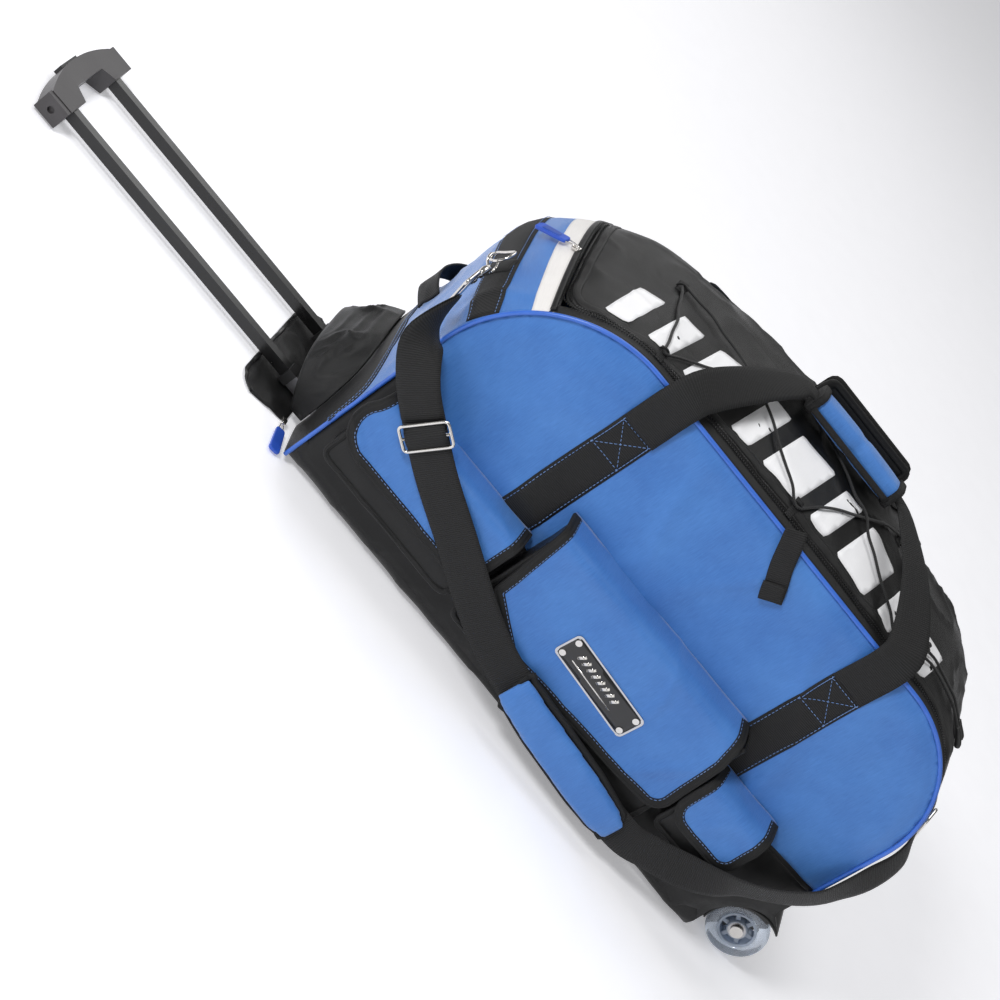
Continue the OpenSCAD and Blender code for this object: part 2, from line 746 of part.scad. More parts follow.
strap_path = [[-192, -166, 282], [-190, -190, 262], [-180, -208, 240], [-150, -218, 213], [-112, -219, 189],
    [-54, -220, 158], [16, -221, 128], [86, -222, 97], [140, -223, 78], [188, -224, 69], [290, -224, 57],
    [401, -223, 50], [443, -221, 61], [481, -221, 79], [512, -221, 99], [538, -217, 120], [565, -210, 139],
    [587, -203, 158], [605, -195, 180], [616, -183, 206], [626, -167, 229], [634, -149, 252],
    [636, -131, 269], [631.6, -112.8, 280.2]];
strap_face = [[0.95, -0.06, 0.17], [0.75, -0.65, 0.1], [0.35, -0.93, 0.05], [0, -1, 0], [0, -1, 0],
    [0, -1, 0], [0, -1, 0], [0, -1, 0], [0, -1, 0], [0, -1, 0], [0, -1, 0],
    [0, -1, 0], [0, -1, -0.05], [0, -1, 0], [0.12, -0.95, -0.18], [0.32, -0.8, -0.4],
    [0.4, -0.77, -0.4], [0.5, -0.77, -0.3], [0.65, -0.7, -0.1], [0.72, -0.65, 0.22], [0.65, -0.7, 0.3],
    [0.7, -0.6, 0.35], [0.75, -0.5, 0.4], [0.85, -0.35, 0.4]];
module shoulder_strap() {
    color("black") ribbon(strap_path, strap_face, web_w, web_t);
}

pad_path = [[188, -230.5, 69], [236, -231, 62], [290, -231, 57], [345, -231, 52], [398, -230, 47]];
module shoulder_pad() {
    color("royalblue") ribbon(pad_path, [for (i = [0:4]) [0, -1, 0]], [52, 58, 60, 58, 40],
        [8, 11, 11, 11, 8]);
}

slider_at = [-98, -224.5, 182];
slider_u = unit([58, 0, -30]);
slider_w = unit([30, 0, 58]);
module strap_slider() {
    color("silver") {
        frame_ring(slider_at, slider_u, slider_w, 30, 58, 2);
        ribbon([for (y = [-25, 25]) local(slider_at, slider_u, slider_w, [0, y, 0])],
            [[0, -1, 0], [0, -1, 0]], 4, 3);
    }
}

// D-ring on the crest band, with the snap hook clipped to it and pointing at the strap
ring_at = [-190, -84, 330];
ring_u = unit([-6, -74, -36]);
ring_w = unit(cross([-0.91, 0, 0.41], ring_u));
module d_ring() {
    p = [for (q = concat([[0, 0], [0, 14]], arc(4, 0, 15, 75, -75, 8), [[0, -14]]))
        local(ring_at, ring_u, ring_w, [q[0], q[1], 0])];
    color("silver") wire_loop(p, 1.8, 6, cross(ring_u, ring_w));
}

hook_at = local(ring_at, ring_u, ring_w, [13, 0, 0]);
// the strap's loop swivels on the hook, so its width has its own direction
loop_axis = unit(cross([-0.98, -0.02, -0.21], ring_u));
module snap_hook() {
    u = ring_u;
    n = cross(ring_u, ring_w);
    color("silver") {
        tube([for (q = concat(arc(10, 1, 9, 140, 0, 8), [[19.2, -2]]))
            local(hook_at, u, n, [q[0], q[1], 0])], 1.8, 8, ring_w);
        tube([local(hook_at, u, n, [19, 0, 0]), local(hook_at, u, n, [52, 0, 0])], 4, 10, ring_w);
        frame_ring(local(hook_at, u, n, [66, 0, 0]), u, loop_axis, 22, web_w + 8, 2);
    }
}

module hook_gate() {
    u = ring_u;
    n = cross(ring_u, ring_w);
    color("silver")
        tube([local(hook_at, u, n, [3, -5, 0]), local(hook_at, u, n, [18, -8, 0])], 1.4, 8, ring_w);
}

end_u = unit([0.07, 0.87, 0.48]);
end_w = unit(cross([0.89, -0.25, 0.33], end_u));
module end_ring() {
    color("silver") frame_ring([633, -95, 290], end_u, end_w, 24, web_w + 6, 2.2);
}

base_board();
base_skin();
skid_rails();
side_panel_near();
side_panel_far();
piping();
gusset_handle_end();
gusset_wheel_end();
white_stripes();
zip_strips();
zip_sliders();
haul_webbing();
front_pocket();
middle_pocket();
rear_pocket();
far_pocket();
handle_garage();
outer_tubes();
tube_brackets();
wheel_housings();
wheel_axles();
wheel_bearings();
ring_webbing();
grab_handle();
d_ring();
end_ring();
shoulder_strap();
strap_slider();
shoulder_pad();
snap_hook();
hook_gate();
inner_tubes();
grip();
grip_caps();
lock_pins();
release_button();
push_rods();
button_springs();
tyre_near();
tyre_far();
hub_near();
hub_far();
lid_panel();
bungee_cord();
bungee_loops();
cord_lock();
cord_lock_plunger();
cord_ends();
near_grip_loop();
near_grip_wrap();
far_grip_loop();
far_grip_wrap();
front_flap();
middle_flap();
rear_flap();
name_plate();
plate_rivets();
garage_flap();
garage_zip_pull();
main_zip_pull();
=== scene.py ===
import math

import bmesh
import bpy
import numpy as np
from mathutils import Matrix, Vector, noise
from mathutils.geometry import delaunay_2d_cdt


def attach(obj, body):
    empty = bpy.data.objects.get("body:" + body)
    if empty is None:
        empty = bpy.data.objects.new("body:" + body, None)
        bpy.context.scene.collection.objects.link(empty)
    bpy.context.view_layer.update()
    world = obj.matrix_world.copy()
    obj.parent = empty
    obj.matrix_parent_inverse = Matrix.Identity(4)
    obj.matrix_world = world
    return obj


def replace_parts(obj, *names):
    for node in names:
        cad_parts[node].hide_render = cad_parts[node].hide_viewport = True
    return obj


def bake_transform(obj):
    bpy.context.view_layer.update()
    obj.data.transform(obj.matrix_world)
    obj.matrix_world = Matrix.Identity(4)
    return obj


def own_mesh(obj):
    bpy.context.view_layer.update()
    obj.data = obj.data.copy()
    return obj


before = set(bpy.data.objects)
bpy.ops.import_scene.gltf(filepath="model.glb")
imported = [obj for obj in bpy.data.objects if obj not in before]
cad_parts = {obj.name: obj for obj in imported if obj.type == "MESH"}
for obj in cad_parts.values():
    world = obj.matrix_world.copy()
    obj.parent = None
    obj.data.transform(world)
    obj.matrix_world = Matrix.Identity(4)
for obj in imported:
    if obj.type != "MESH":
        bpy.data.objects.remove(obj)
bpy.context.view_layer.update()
scene = bpy.context.scene
MM = 0.001

# ---- camera: the bag stands on its base and is turned in the frame ----

AZIMUTH, ELEVATION, ROLL = (math.radians(d) for d in (-12.13, 26.13, 55.86))
AIM = Vector((0.0534, 0, 0.0897))
DISTANCE, LENS = 3.0457, 92.85


def make_camera():
    back = Vector((math.sin(AZIMUTH) * math.cos(ELEVATION), -math.cos(AZIMUTH) * math.cos(ELEVATION),
                   math.sin(ELEVATION)))
    right = Vector((math.cos(AZIMUTH), math.sin(AZIMUTH), 0))
    up = back.cross(right)
    turned_right = right * math.cos(ROLL) + up * math.sin(ROLL)
    turned_up = up * math.cos(ROLL) - right * math.sin(ROLL)
    camera = bpy.data.objects.new("camera", bpy.data.cameras.new("camera"))
    scene.collection.objects.link(camera)
    camera.data.lens = LENS
    camera.data.sensor_width = 36
    camera.data.clip_end = 50
    camera.matrix_world = Matrix.Translation(AIM + back * DISTANCE) @ Matrix(
        (turned_right, turned_up, back)).transposed().to_4x4()
    scene.camera = camera


make_camera()

# ---- the bag's outline and crowned top, as in the CAD, in millimetres ----

HALF = 176.0
BACK_X, FRONT_X, TOP_Z, BASE_Z = -168.0, 605.0, 420.0, 24.0
BACK_R, NOSE_R = 170.0, 150.0
S_SHOULDER = TOP_Z - BACK_R - BASE_Z
S_TOP = S_SHOULDER + math.pi * BACK_R / 2
S_NOSE = S_TOP + FRONT_X - NOSE_R - BACK_X - BACK_R
S_FRONT = S_NOSE + math.pi * NOSE_R / 2
S_LID, S_HINGE, S_FOOT = 362.0, 1068.0, S_FRONT + 168
LID_Y = HALF - 14
AXLE = np.array([615, 0, 39.0])
CROWN = np.array([[0, 14], [S_SHOULDER, 22], [290, 31], [S_LID, 28], [430, 18], [S_TOP, 26], [600, 47],
                  [720, 50], [800, 45], [880, 22], [S_NOSE, 11], [1050, 9], [S_FRONT, 12], [S_FOOT, 8]])
# how far the empty bag's far top edge hangs below its seam, along the outline, and its share inward
SLUMP = np.array([[0, 0], [120, 6], [230, 22], [300, 26], [360, 32], [430, 35], [500, 32], [600, 18],
                  [700, 13], [800, 15], [880, 23], [960, 28], [1040, 29], [1120, 23], [1182, 12],
                  [1290, 0]])
SLUMP_IN = 0.8
OUTLINE_S = np.arange(-60, S_FOOT + 60, 4.0)


def smoothed(table):
    """a table's second column along the outline, with its corners rounded off"""
    blur = np.hanning(13)
    return np.convolve(np.interp(OUTLINE_S, table[:, 0], table[:, 1]), blur / blur.sum(), "same")


CROWN_B, SLUMP_B = smoothed(CROWN), smoothed(SLUMP)
CROWN_B[:6], CROWN_B[-6:] = CROWN[0, 1], CROWN[-1, 1]


def crown(s):
    return np.interp(s, OUTLINE_S, CROWN_B)


def slump(s):
    return np.interp(s, OUTLINE_S, SLUMP_B)


def unit(a):
    a = np.asarray(a, float)
    return a / np.maximum(np.linalg.norm(a, axis=-1, keepdims=True), 1e-12)


def lengths(path):
    """the way from a path's start to each of its points"""
    return np.concatenate([[0], np.cumsum(np.linalg.norm(np.diff(path, axis=0), axis=1))])


def heading(path, closed=False):
    return np.roll(path, -1, 0) - np.roll(path, 1, 0) if closed else np.gradient(path, axis=0)


def circle(sides):
    return np.linspace(0, 2 * math.pi, sides, endpoint=False)


def squared(wave, power):
    """a sine or cosine with flattened swings, for a boxy ring"""
    return np.sign(wave) * np.abs(wave) ** power


def window(a, low, high, soft):
    """1 between low and high, 0 outside, with soft ends"""
    t = np.clip(np.minimum(a - low, high - a) / soft, 0, 1)
    return t * t * (3 - 2 * t)


def ripple(a, b, size, seed):
    """smooth noise from about -1 to 1, its swells about size across"""
    a, b = np.broadcast_arrays(np.asarray(a, float), np.asarray(b, float))
    values = [noise.noise((x / size, y / size, seed)) for x, y in zip(a.ravel(), b.ravel())]
    return np.array(values).reshape(a.shape)


def creases(a, b, size, seed):
    """sharp-topped folds from 0 to 1"""
    return (1 - np.minimum(1, np.abs(ripple(a, b, size, seed)) * 4)) ** 2


def rim(s):
    """the side seam's outline: x, z and its outward direction, s millimetres from the handle end's base"""
    s = np.asarray(s, float)
    a = np.where(s < S_TOP, math.pi - (s - S_SHOULDER) / BACK_R, math.pi / 2 - (s - S_NOSE) / NOSE_R)
    zones = [s < S_SHOULDER, s < S_TOP, s < S_NOSE, s < S_FRONT]
    x = np.select(zones, [BACK_X + 0 * s, BACK_X + BACK_R * (1 + np.cos(a)), BACK_X + BACK_R + s - S_TOP,
                          FRONT_X - NOSE_R * (1 - np.cos(a))], FRONT_X)
    z = np.select(zones, [BASE_Z + s, TOP_Z - BACK_R * (1 - np.sin(a)), TOP_Z + 0 * s,
                          TOP_Z - NOSE_R * (1 - np.sin(a))], TOP_Z - NOSE_R - (s - S_FRONT))
    nx = np.select(zones, [-1 + 0 * s, np.cos(a), 0 * s, np.cos(a)], 1)
    nz = np.select(zones, [0 * s, np.sin(a), 1 + 0 * s, np.sin(a)], 0)
    return x, z, nx, nz


class Surface:
    """Cloth laid in space: place() turns flat pattern coordinates, in millimetres, into points."""

    def __init__(self, place, outward=1):
        self.place, self.outward = place, outward

    def normal(self, q, step=1.0):
        dx, dy = np.array([step, 0]), np.array([0, step])
        a = self.place(*(q + dx).T) - self.place(*(q - dx).T)
        b = self.place(*(q + dy).T) - self.place(*(q - dy).T)
        return unit(np.cross(a, b)) * self.outward

    def at(self, q, lift=0.0):
        q = np.atleast_2d(np.asarray(q, float))
        p = self.place(*q.T)
        if np.any(lift):
            p = p + self.normal(q) * np.reshape(lift, (-1, 1))
        return p


def top_place(s, y):
    """the crowned top: s runs along the outline from the handle end's base, y across the bag"""
    x, z, nx, nz = rim(s)
    v = np.clip(y / HALF, -1, 1)
    lift = crown(s) * (1 - v * v)
    on_lid = window(s, S_LID, S_HINGE, 30) * window(y, -LID_Y, LID_Y, 24)
    edge = window(s, S_LID - 4, S_HINGE + 10, 12) * window(y, -LID_Y - 2, LID_Y + 2, 6) - on_lid
    field = window(s, S_LID + 24, S_HINGE - 24, 50) * window(y, -LID_Y + 20, LID_Y - 20, 40)
    hem = window(s, S_LID, S_HINGE, 10) * window(y, -LID_Y, LID_Y, 8) - field
    folds = 4.0 * ripple(s, y, 95, 3.1) + 4.0 * creases(s, y, 140, 8.4)
    folds = folds + 2.4 * creases(s + y, y - s, 80, 2.6)
    lift = lift + on_lid * folds + np.clip(edge, 0, 1) * 1.6 * ripple(s, y, 22, 5.7)
    lift = lift + np.clip(hem, 0, 1) * 2.2 * ripple(s, y, 28, 7.2)
    blue = window(s, 120, S_LID - 8, 30) + window(s, S_HINGE + 10, S_FOOT - 4, 30)
    folds = 2.6 * ripple(s, y, 70, 1.3) + 2.4 * creases(s, y, 80, 4.9)
    lift = lift + blue * window(y, -HALF, HALF, 30) * folds
    slack = slump(s) * np.maximum(v, 0) ** 2
    lift = lift - slack
    return np.stack([x + nx * lift, y - SLUMP_IN * slack + 0 * s, z + nz * lift], -1)


def side_depth(x, z):
    """how far a side panel stands out from its seam"""
    inside = np.minimum.reduce([x - BACK_X, FRONT_X - x, TOP_Z - z, z - BASE_Z + 30])
    corner = np.hypot(np.minimum(x - BACK_X - BACK_R, 0), np.maximum(z - TOP_Z + BACK_R, 0))
    nose = np.hypot(np.maximum(x - FRONT_X + NOSE_R, 0), np.maximum(z - TOP_Z + NOSE_R, 0))
    inside = np.where((x < BACK_X + BACK_R) & (z > TOP_Z - BACK_R), BACK_R - corner, inside)
    inside = np.where((x > FRONT_X - NOSE_R) & (z > TOP_Z - NOSE_R), NOSE_R - nose, inside)
    t = np.clip(inside / 26, 0, 1)
    out = 3.4 * (1 - (1 - t) ** 2) - 1.2 * np.exp(-((inside - 9) / 5) ** 2)
    loose = np.clip(inside / 60, 0, 1)
    sag = 4.0 * ripple(x, z, 120, 2.2) + 3.6 * creases(x + 0.5 * z, z - 0.4 * x, 190, 6.3)
    sag = sag + 1.3 * ripple(x, z, 46, 8.8)
    pull = sum(np.exp(-((x - a) / 34) ** 2 - ((z - 385) / 40) ** 2) for a in (38, 407))
    low = window(z, -60, 175, 60) * (2.2 * ripple(x, z, 34, 9.9) + 2.0 * creases(x, z, 52, 3.8))
    return out + loose * (sag + low) + 1.5 * pull * np.clip(inside / 12, 0, 1)


def far_place(x, z):
    """the far side panel, its top edge slumped with the lid's"""
    shoulder = (x < BACK_X + BACK_R) & (z > TOP_Z - BACK_R)
    nose = (x > FRONT_X - NOSE_R) & (z > TOP_Z - NOSE_R)
    turn = np.arctan2(z - TOP_Z + BACK_R, x - BACK_X - BACK_R)
    tip = np.arctan2(z - TOP_Z + NOSE_R, x - FRONT_X + NOSE_R)
    s_shoulder = S_SHOULDER + (math.pi - turn) * BACK_R
    s_nose = S_NOSE + (math.pi / 2 - tip) * NOSE_R
    s_top = np.clip(S_TOP + x - BACK_X - BACK_R, S_TOP, S_NOSE)
    s = np.select([shoulder, nose, z > 200], [s_shoulder, s_nose, s_top],
                  np.where(x < 220, 0, S_FRONT + 110))
    s = np.where((x < BACK_X + BACK_R) & ~shoulder, z - BASE_Z, s)
    s = np.where((x > FRONT_X - NOSE_R) & ~nose, S_FRONT + TOP_Z - NOSE_R - z, s)
    ex, ez, nx, nz = rim(s)
    inside = np.maximum(0, (ex - x) * nx + (ez - z) * nz)
    drop = slump(s) * np.clip(1 - inside / 110, 0, 1) ** 2
    return np.stack([x - nx * drop, HALF + side_depth(x, z) - SLUMP_IN * drop, z - nz * drop], -1)


top = Surface(top_place)
near_side = Surface(lambda x, z: np.stack([x, -HALF - side_depth(x, z), z], -1))
far_side = Surface(far_place, -1)

# ---- building pieces ----


def set_uv(mesh, flat):
    """pattern coordinates for the weave, from each point's flat place in millimetres"""
    layer = mesh.uv_layers.get("cloth") or mesh.uv_layers.new(name="cloth")
    index = np.zeros(len(mesh.loops), np.int32)
    mesh.loops.foreach_get("vertex_index", index)
    layer.data.foreach_set("uv", (np.asarray(flat, float)[index] * MM).astype(np.float32).ravel())


def shade_smooth(mesh, smooth=True):
    mesh.polygons.foreach_set("use_smooth", [smooth] * len(mesh.polygons))


def add_mesh(name, points, faces, material, body="bag", uv=None, smooth=True, fix=True):
    mesh = bpy.data.meshes.new(name)
    mesh.from_pydata((np.asarray(points) * MM).tolist(), [], [list(map(int, f)) for f in faces])
    if uv is not None:
        set_uv(mesh, uv)
    mesh.update()
    if fix:
        bm = bmesh.new()
        bm.from_mesh(mesh)
        bmesh.ops.recalc_face_normals(bm, faces=bm.faces)
        bm.to_mesh(mesh)
        bm.free()
    shade_smooth(mesh, smooth)
    mesh.materials.append(material)
    piece = bpy.data.objects.new(name, mesh)
    scene.collection.objects.link(piece)
    if body:
        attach(piece, body)
    return piece


def resample(path, step, closed=False):
    path = np.asarray(path, float)
    if closed:
        path = np.vstack([path, path[:1]])
    along = lengths(path)
    n = max(2, int(round(along[-1] / step)))
    at = np.linspace(0, along[-1], n + 1)
    out = np.stack([np.interp(at, along, path[:, k]) for k in range(path.shape[1])], 1)
    return out[:-1] if closed else out


def curve(points, step, closed=False):
    """a smooth line through the points, with points about step apart"""
    p = np.asarray(points, float)
    n = len(p)
    if closed:
        p = np.vstack([p[-1:], p, p[:2]])
    else:
        p = np.vstack([2 * p[0] - p[1], p, 2 * p[-1] - p[-2]])
    out = []
    for i in range(n if closed else n - 1):
        a, b, c, d = p[i:i + 4]
        for t in np.linspace(0, 1, 12, endpoint=False):
            out.append(0.5 * (2 * b + (c - a) * t + (2 * a - 5 * b + 4 * c - d) * t * t
                              + (3 * b - a - 3 * c + d) * t ** 3))
    if not closed:
        out.append(p[-2])
    return resample(out, step, closed)


def rounded(corners, radii, per=7):
    """a closed outline with its corners rounded"""
    c = np.asarray(corners, float)
    out = []
    for i, r in enumerate(radii):
        a, b, d = c[i - 1], c[i], c[(i + 1) % len(c)]
        u, w = unit(a - b), unit(d - b)
        if r <= 0:
            out.append(b)
            continue
        for t in np.linspace(0, 1, per):
            out.append(b + u * r * (1 - t) ** 2 + w * r * t ** 2)
    return np.array(out)


def outline_arc(x, z, r, start, end, n=7):
    """points of a round stretch of an outline, between two angles in degrees"""
    return [[x + r * math.cos(i), z + r * math.sin(i)] for i in np.radians(np.linspace(start, end, n))]


def trough(name, centre, radius, angles, ys, thick, outward):
    """a plate bent round a wheel: its angles in degrees, its ys across the bag"""
    (x, z), turns = centre, np.radians(angles)
    grid_piece(name, lambda a, y: np.stack([x + radius * np.cos(a), y, z + radius * np.sin(a)], -1), turns,
               ys, thick, plastic, outward=outward, uv_scale=(49, 1))


def cloth_piece(name, surface, outline, step, thick, material, body="bag", lift=0.0):
    """closed piece of cloth cut to a flat outline and laid on a surface"""
    edge = resample(outline, step, closed=True)
    low, high = edge.min(0), edge.max(0)
    gx, gy = np.meshgrid(np.arange(low[0] + step / 2, high[0], step),
                         np.arange(low[1] + step / 2, high[1], step))
    grid = np.stack([gx.ravel(), gy.ravel()], 1)
    a, b = edge, np.roll(edge, -1, 0)
    inside = np.zeros(len(grid), bool)
    near = np.full(len(grid), 1e9)
    for p, q in zip(a, b):
        cross = (p[1] > grid[:, 1]) != (q[1] > grid[:, 1])
        if p[1] != q[1]:
            inside ^= cross & (grid[:, 0] < (q[0] - p[0]) * (grid[:, 1] - p[1]) / (q[1] - p[1]) + p[0])
        near = np.minimum(near, np.hypot(*(grid - p).T))
    grid = grid[inside & (near > step * 0.55)]
    flat = np.vstack([edge, grid])
    out = delaunay_2d_cdt([Vector(p) for p in flat], [], [list(range(len(edge)))], 1, 1e-4)
    flat = np.array([list(p) for p in out[0]])
    tris = [tuple(f) for f in out[2]]
    n = len(flat)
    count = {}
    for f in tris:
        for i in range(len(f)):
            e = (f[i], f[(i + 1) % len(f)])
            key = (min(e), max(e))
            count[key] = e if key not in count else None
    points = np.vstack([surface.at(flat, lift + thick), surface.at(flat, lift)])
    faces = tris + [tuple(i + n for i in f[::-1]) for f in tris]
    faces += [(e[1], e[0], e[0] + n, e[1] + n) for e in count.values() if e]
    return add_mesh(name, points, faces, material, body, np.vstack([flat, flat]))


def grid_piece(name, place, us, vs, thick, material, body="bag", outward=1, uv_scale=(1, 1)):
    """closed sheet over a grid of flat coordinates; thick may be an array over the grid"""
    surface = Surface(place, outward)
    u, v = np.meshgrid(us, vs, indexing="ij")
    flat = np.stack([u.ravel(), v.ravel()], 1)
    outer, inner = surface.at(flat), surface.at(flat, -np.broadcast_to(thick, len(flat)))
    n, m = u.shape
    k = n * m
    quads = [(i * m + j, i * m + j + 1, (i + 1) * m + j + 1, (i + 1) * m + j)
             for i in range(n - 1) for j in range(m - 1)]
    loop = ([j for j in range(m)] + [i * m + m - 1 for i in range(1, n)]
            + [(n - 1) * m + j for j in range(m - 2, -1, -1)] + [i * m for i in range(n - 2, 0, -1)])
    faces = quads + [tuple(q + k for q in f[::-1]) for f in quads]
    faces += [(a, a + k, b + k, b) for a, b in zip(loop, loop[1:] + loop[:1])]
    scale = np.array(uv_scale)
    return add_mesh(name, np.vstack([outer, inner]), faces, material, body, np.vstack([flat, flat]) * scale)


def rings_mesh(rings, closed=False):
    """points and faces of rings joined into a tube"""
    rings = np.asarray(rings)
    n, m = rings.shape[:2]
    points = rings.reshape(-1, 3)
    faces = []
    for i in range(n if closed else n - 1):
        a, b = i * m, ((i + 1) % n) * m
        faces += [(a + j, a + (j + 1) % m, b + (j + 1) % m, b + j) for j in range(m)]
    if not closed:
        faces += [tuple(range(m))[::-1], tuple((n - 1) * m + j for j in range(m))]
    return points, faces


def tape_mesh(surface, path, width, thick, lift=0.0, closed=False, across=7):
    """tape lying on a surface along a flat path, with rounded edges"""
    path = np.asarray(path, float)
    ahead = heading(path, closed)
    side = unit(np.stack([-ahead[:, 1], ahead[:, 0]], 1))
    offs = np.concatenate([np.linspace(-1, 1, across), [1, -1]]) * width / 2
    high = np.concatenate([thick * (1 - np.abs(np.linspace(-1, 1, across)) ** 6 * 0.75), [0, 0]])
    rings = np.stack([surface.at(path + side * o, lift + h) for o, h in zip(offs, high)], 1)
    points, faces = rings_mesh(rings, closed)
    along = lengths(path)
    uv = np.stack([np.repeat(along, len(offs)), np.tile(offs, len(path))], 1)
    return points, faces, uv


def tape(name, surface, path, width, thick, material, body="bag", lift=0.0, closed=False):
    points, faces, uv = tape_mesh(surface, path, width, thick, lift, closed)
    return add_mesh(name, points, faces, material, body, uv)


def join_meshes(parts):
    points, faces, uvs, k = [], [], [], 0
    for p, f, uv in parts:
        points.append(p)
        faces += [tuple(i + k for i in face) for face in f]
        uvs.append(uv if uv is not None else np.zeros((len(p), 2)))
        k += len(p)
    return np.vstack(points), faces, np.vstack(uvs)


def add_parts(name, parts, material, body="bag", as_cloth=False):
    """one piece of several meshes, with their pattern coordinates if it is cloth"""
    points, faces, uv = join_meshes(parts)
    return add_mesh(name, points, faces, material, body, uv if as_cloth else None)


def frames(path, closed=False, start=(0, 0, 1)):
    """a heading and two steady side directions at each point of a path"""
    path = np.asarray(path, float)
    ahead = unit(heading(path, closed))
    a = np.cross(ahead[0], start)
    if np.linalg.norm(a) < 1e-3:
        a = np.cross(ahead[0], (0.3, 0.9, 0.1))
    sides = []
    for d in ahead:
        a = unit(a - d * (a @ d))
        sides.append(a)
    sides = np.array(sides)
    return ahead, sides, np.cross(ahead, sides)


def round_mesh(path, radius, sides=10, closed=False, squeeze=1.0, up=(0, 0, 1)):
    """a round cord or wire along a path; radius may change along it"""
    path = np.asarray(path, float)
    _, a, b = frames(path, closed, up)
    t = circle(sides)
    r = np.broadcast_to(radius, len(path))[:, None, None]
    rings = path[:, None] + r * (a[:, None] * np.cos(t)[None, :, None]
                                 + squeeze * b[:, None] * np.sin(t)[None, :, None])
    points, faces = rings_mesh(rings, closed)
    along = lengths(path)
    around = t * np.mean(radius)
    uv = np.stack([np.repeat(along, sides), np.tile(around, len(path))], 1)
    return points, faces, uv


def round_cord(name, path, radius, material, body="bag", sides=10, closed=False, squeeze=1.0, up=(0, 0, 1)):
    points, faces, uv = round_mesh(path, radius, sides, closed, squeeze, up)
    return add_mesh(name, points, faces, material, body, uv)


def ribbon_mesh(path, face, width, thick, across=9, bow=0.0):
    """flat webbing through space; face is its outward direction at each point"""
    path, face = np.asarray(path, float), np.asarray(face, float)
    ahead = unit(np.gradient(path, axis=0))
    side = unit(np.cross(ahead, face))
    up = np.cross(side, ahead)
    t = np.linspace(-1, 1, across)
    w = np.broadcast_to(width, len(path))[:, None, None] / 2
    h = np.broadcast_to(thick, len(path))[:, None, None] / 2
    b = np.broadcast_to(bow, len(path))[:, None, None]
    tt = np.concatenate([t, t[::-1]])[None, :, None]
    round_edge = 1 - 0.7 * np.abs(t) ** 6
    hh = np.concatenate([round_edge, -round_edge[::-1]])[None, :, None]
    rings = path[:, None] + side[:, None] * w * tt + up[:, None] * (h * hh + b * (1 - tt ** 2))
    points, faces = rings_mesh(rings)
    along = lengths(path)
    ww = np.broadcast_to(width, len(path))
    uv = np.stack([np.repeat(along, 2 * across),
                   (np.concatenate([t, t[::-1]])[None] * ww[:, None] / 2).ravel()], 1)
    return points, faces, uv


BOX_FACES = [(3, 2, 1, 0), (4, 5, 6, 7), (0, 1, 5, 4), (1, 2, 6, 5), (2, 3, 7, 6), (3, 0, 4, 7)]
STITCH_RINGS = [[x, r * math.cos(a), r * math.sin(a)] for x, r in ((-0.42, 0.8), (0, 1), (0.42, 0.8))
                for a in np.arange(5) * 2 * math.pi / 5]
STITCH = np.array([[-0.5, 0, 0], *STITCH_RINGS, [0.5, 0, 0]])
STITCH_FACES = ([(0, 1 + (j + 1) % 5, 1 + j) for j in range(5)]
                + [(1 + i * 5 + j, 1 + i * 5 + (j + 1) % 5, 6 + i * 5 + (j + 1) % 5, 6 + i * 5 + j)
                   for i in (0, 1) for j in range(5)]
                + [(16, 11 + j, 11 + (j + 1) % 5) for j in range(5)])


def planted(shape, shape_faces, surface, path, closed, step, lift):
    """copies of a small shape, given as (ahead, aside, up), set down along a flat path"""
    ahead = unit(heading(path, closed)) * step
    here, up = surface.at(path, lift), surface.normal(path)
    fore = unit(surface.at(path + ahead, lift) - surface.at(path - ahead, lift))
    side = np.cross(up, fore)
    points = here[:, None] + fore[:, None] * shape[:, :1] + side[:, None] * shape[:, 1:2]
    points = points + up[:, None] * shape[:, 2:]
    faces = [tuple(i + len(shape) * j for i in f) for j in range(len(path)) for f in shape_faces]
    return points.reshape(-1, 3), faces, None


def stitches(name, runs, body="bag", length=3.6, gap=1.7, radius=0.42):
    """sewn runs: each is (surface, flat path, lift, closed)"""
    shape = STITCH * np.array([length, radius, radius])
    parts = [planted(shape, STITCH_FACES, surface, resample(path, length + gap, closed), closed, 1.5, lift)
             for surface, path, lift, closed in runs]
    points, faces, _ = join_meshes(parts)
    return add_mesh(name, points, faces, thread, body, fix=False)


def inset(path, by, closed=True):
    """a flat path moved sideways, to its left for a positive step"""
    path = np.asarray(path, float)
    ahead = heading(path, closed)
    return path + unit(np.stack([-ahead[:, 1], ahead[:, 0]], 1)) * by


# ---- materials ----


def node(tree, kind, inputs=None, **settings):
    made = tree.nodes.new("ShaderNode" + kind)
    for key, value in settings.items():
        setattr(made, key, value)
    for key, value in (inputs or {}).items():
        if isinstance(value, bpy.types.NodeSocket):
            tree.links.new(value, made.inputs[key])
        else:
            made.inputs[key].default_value = value
    return made


def material(name, slot, **values):
    made = bpy.data.materials.new(name)
    made.use_nodes = True
    made["slot"] = slot
    shader = made.node_tree.nodes["Principled BSDF"]
    for key, value in values.items():
        shader.inputs[key.replace("_", " ")].default_value = value
    return made, made.node_tree, shader


def maths(tree, operation, a, b=0.0):
    return node(tree, "Math", {0: a, 1: b}, operation=operation).outputs[0]


def lerp(tree, share, a, b):
    mix = node(tree, "Mix", data_type="RGBA")
    for socket, value in (("Factor", share), ("A", a), ("B", b)):
        found = [i for i in mix.inputs
                 if i.name == socket and i.type == ("VALUE" if socket == "Factor" else "RGBA")][0]
        if isinstance(value, bpy.types.NodeSocket):
            tree.links.new(value, found)
        else:
            found.default_value = value
    return [o for o in mix.outputs if o.type == "RGBA"][0]


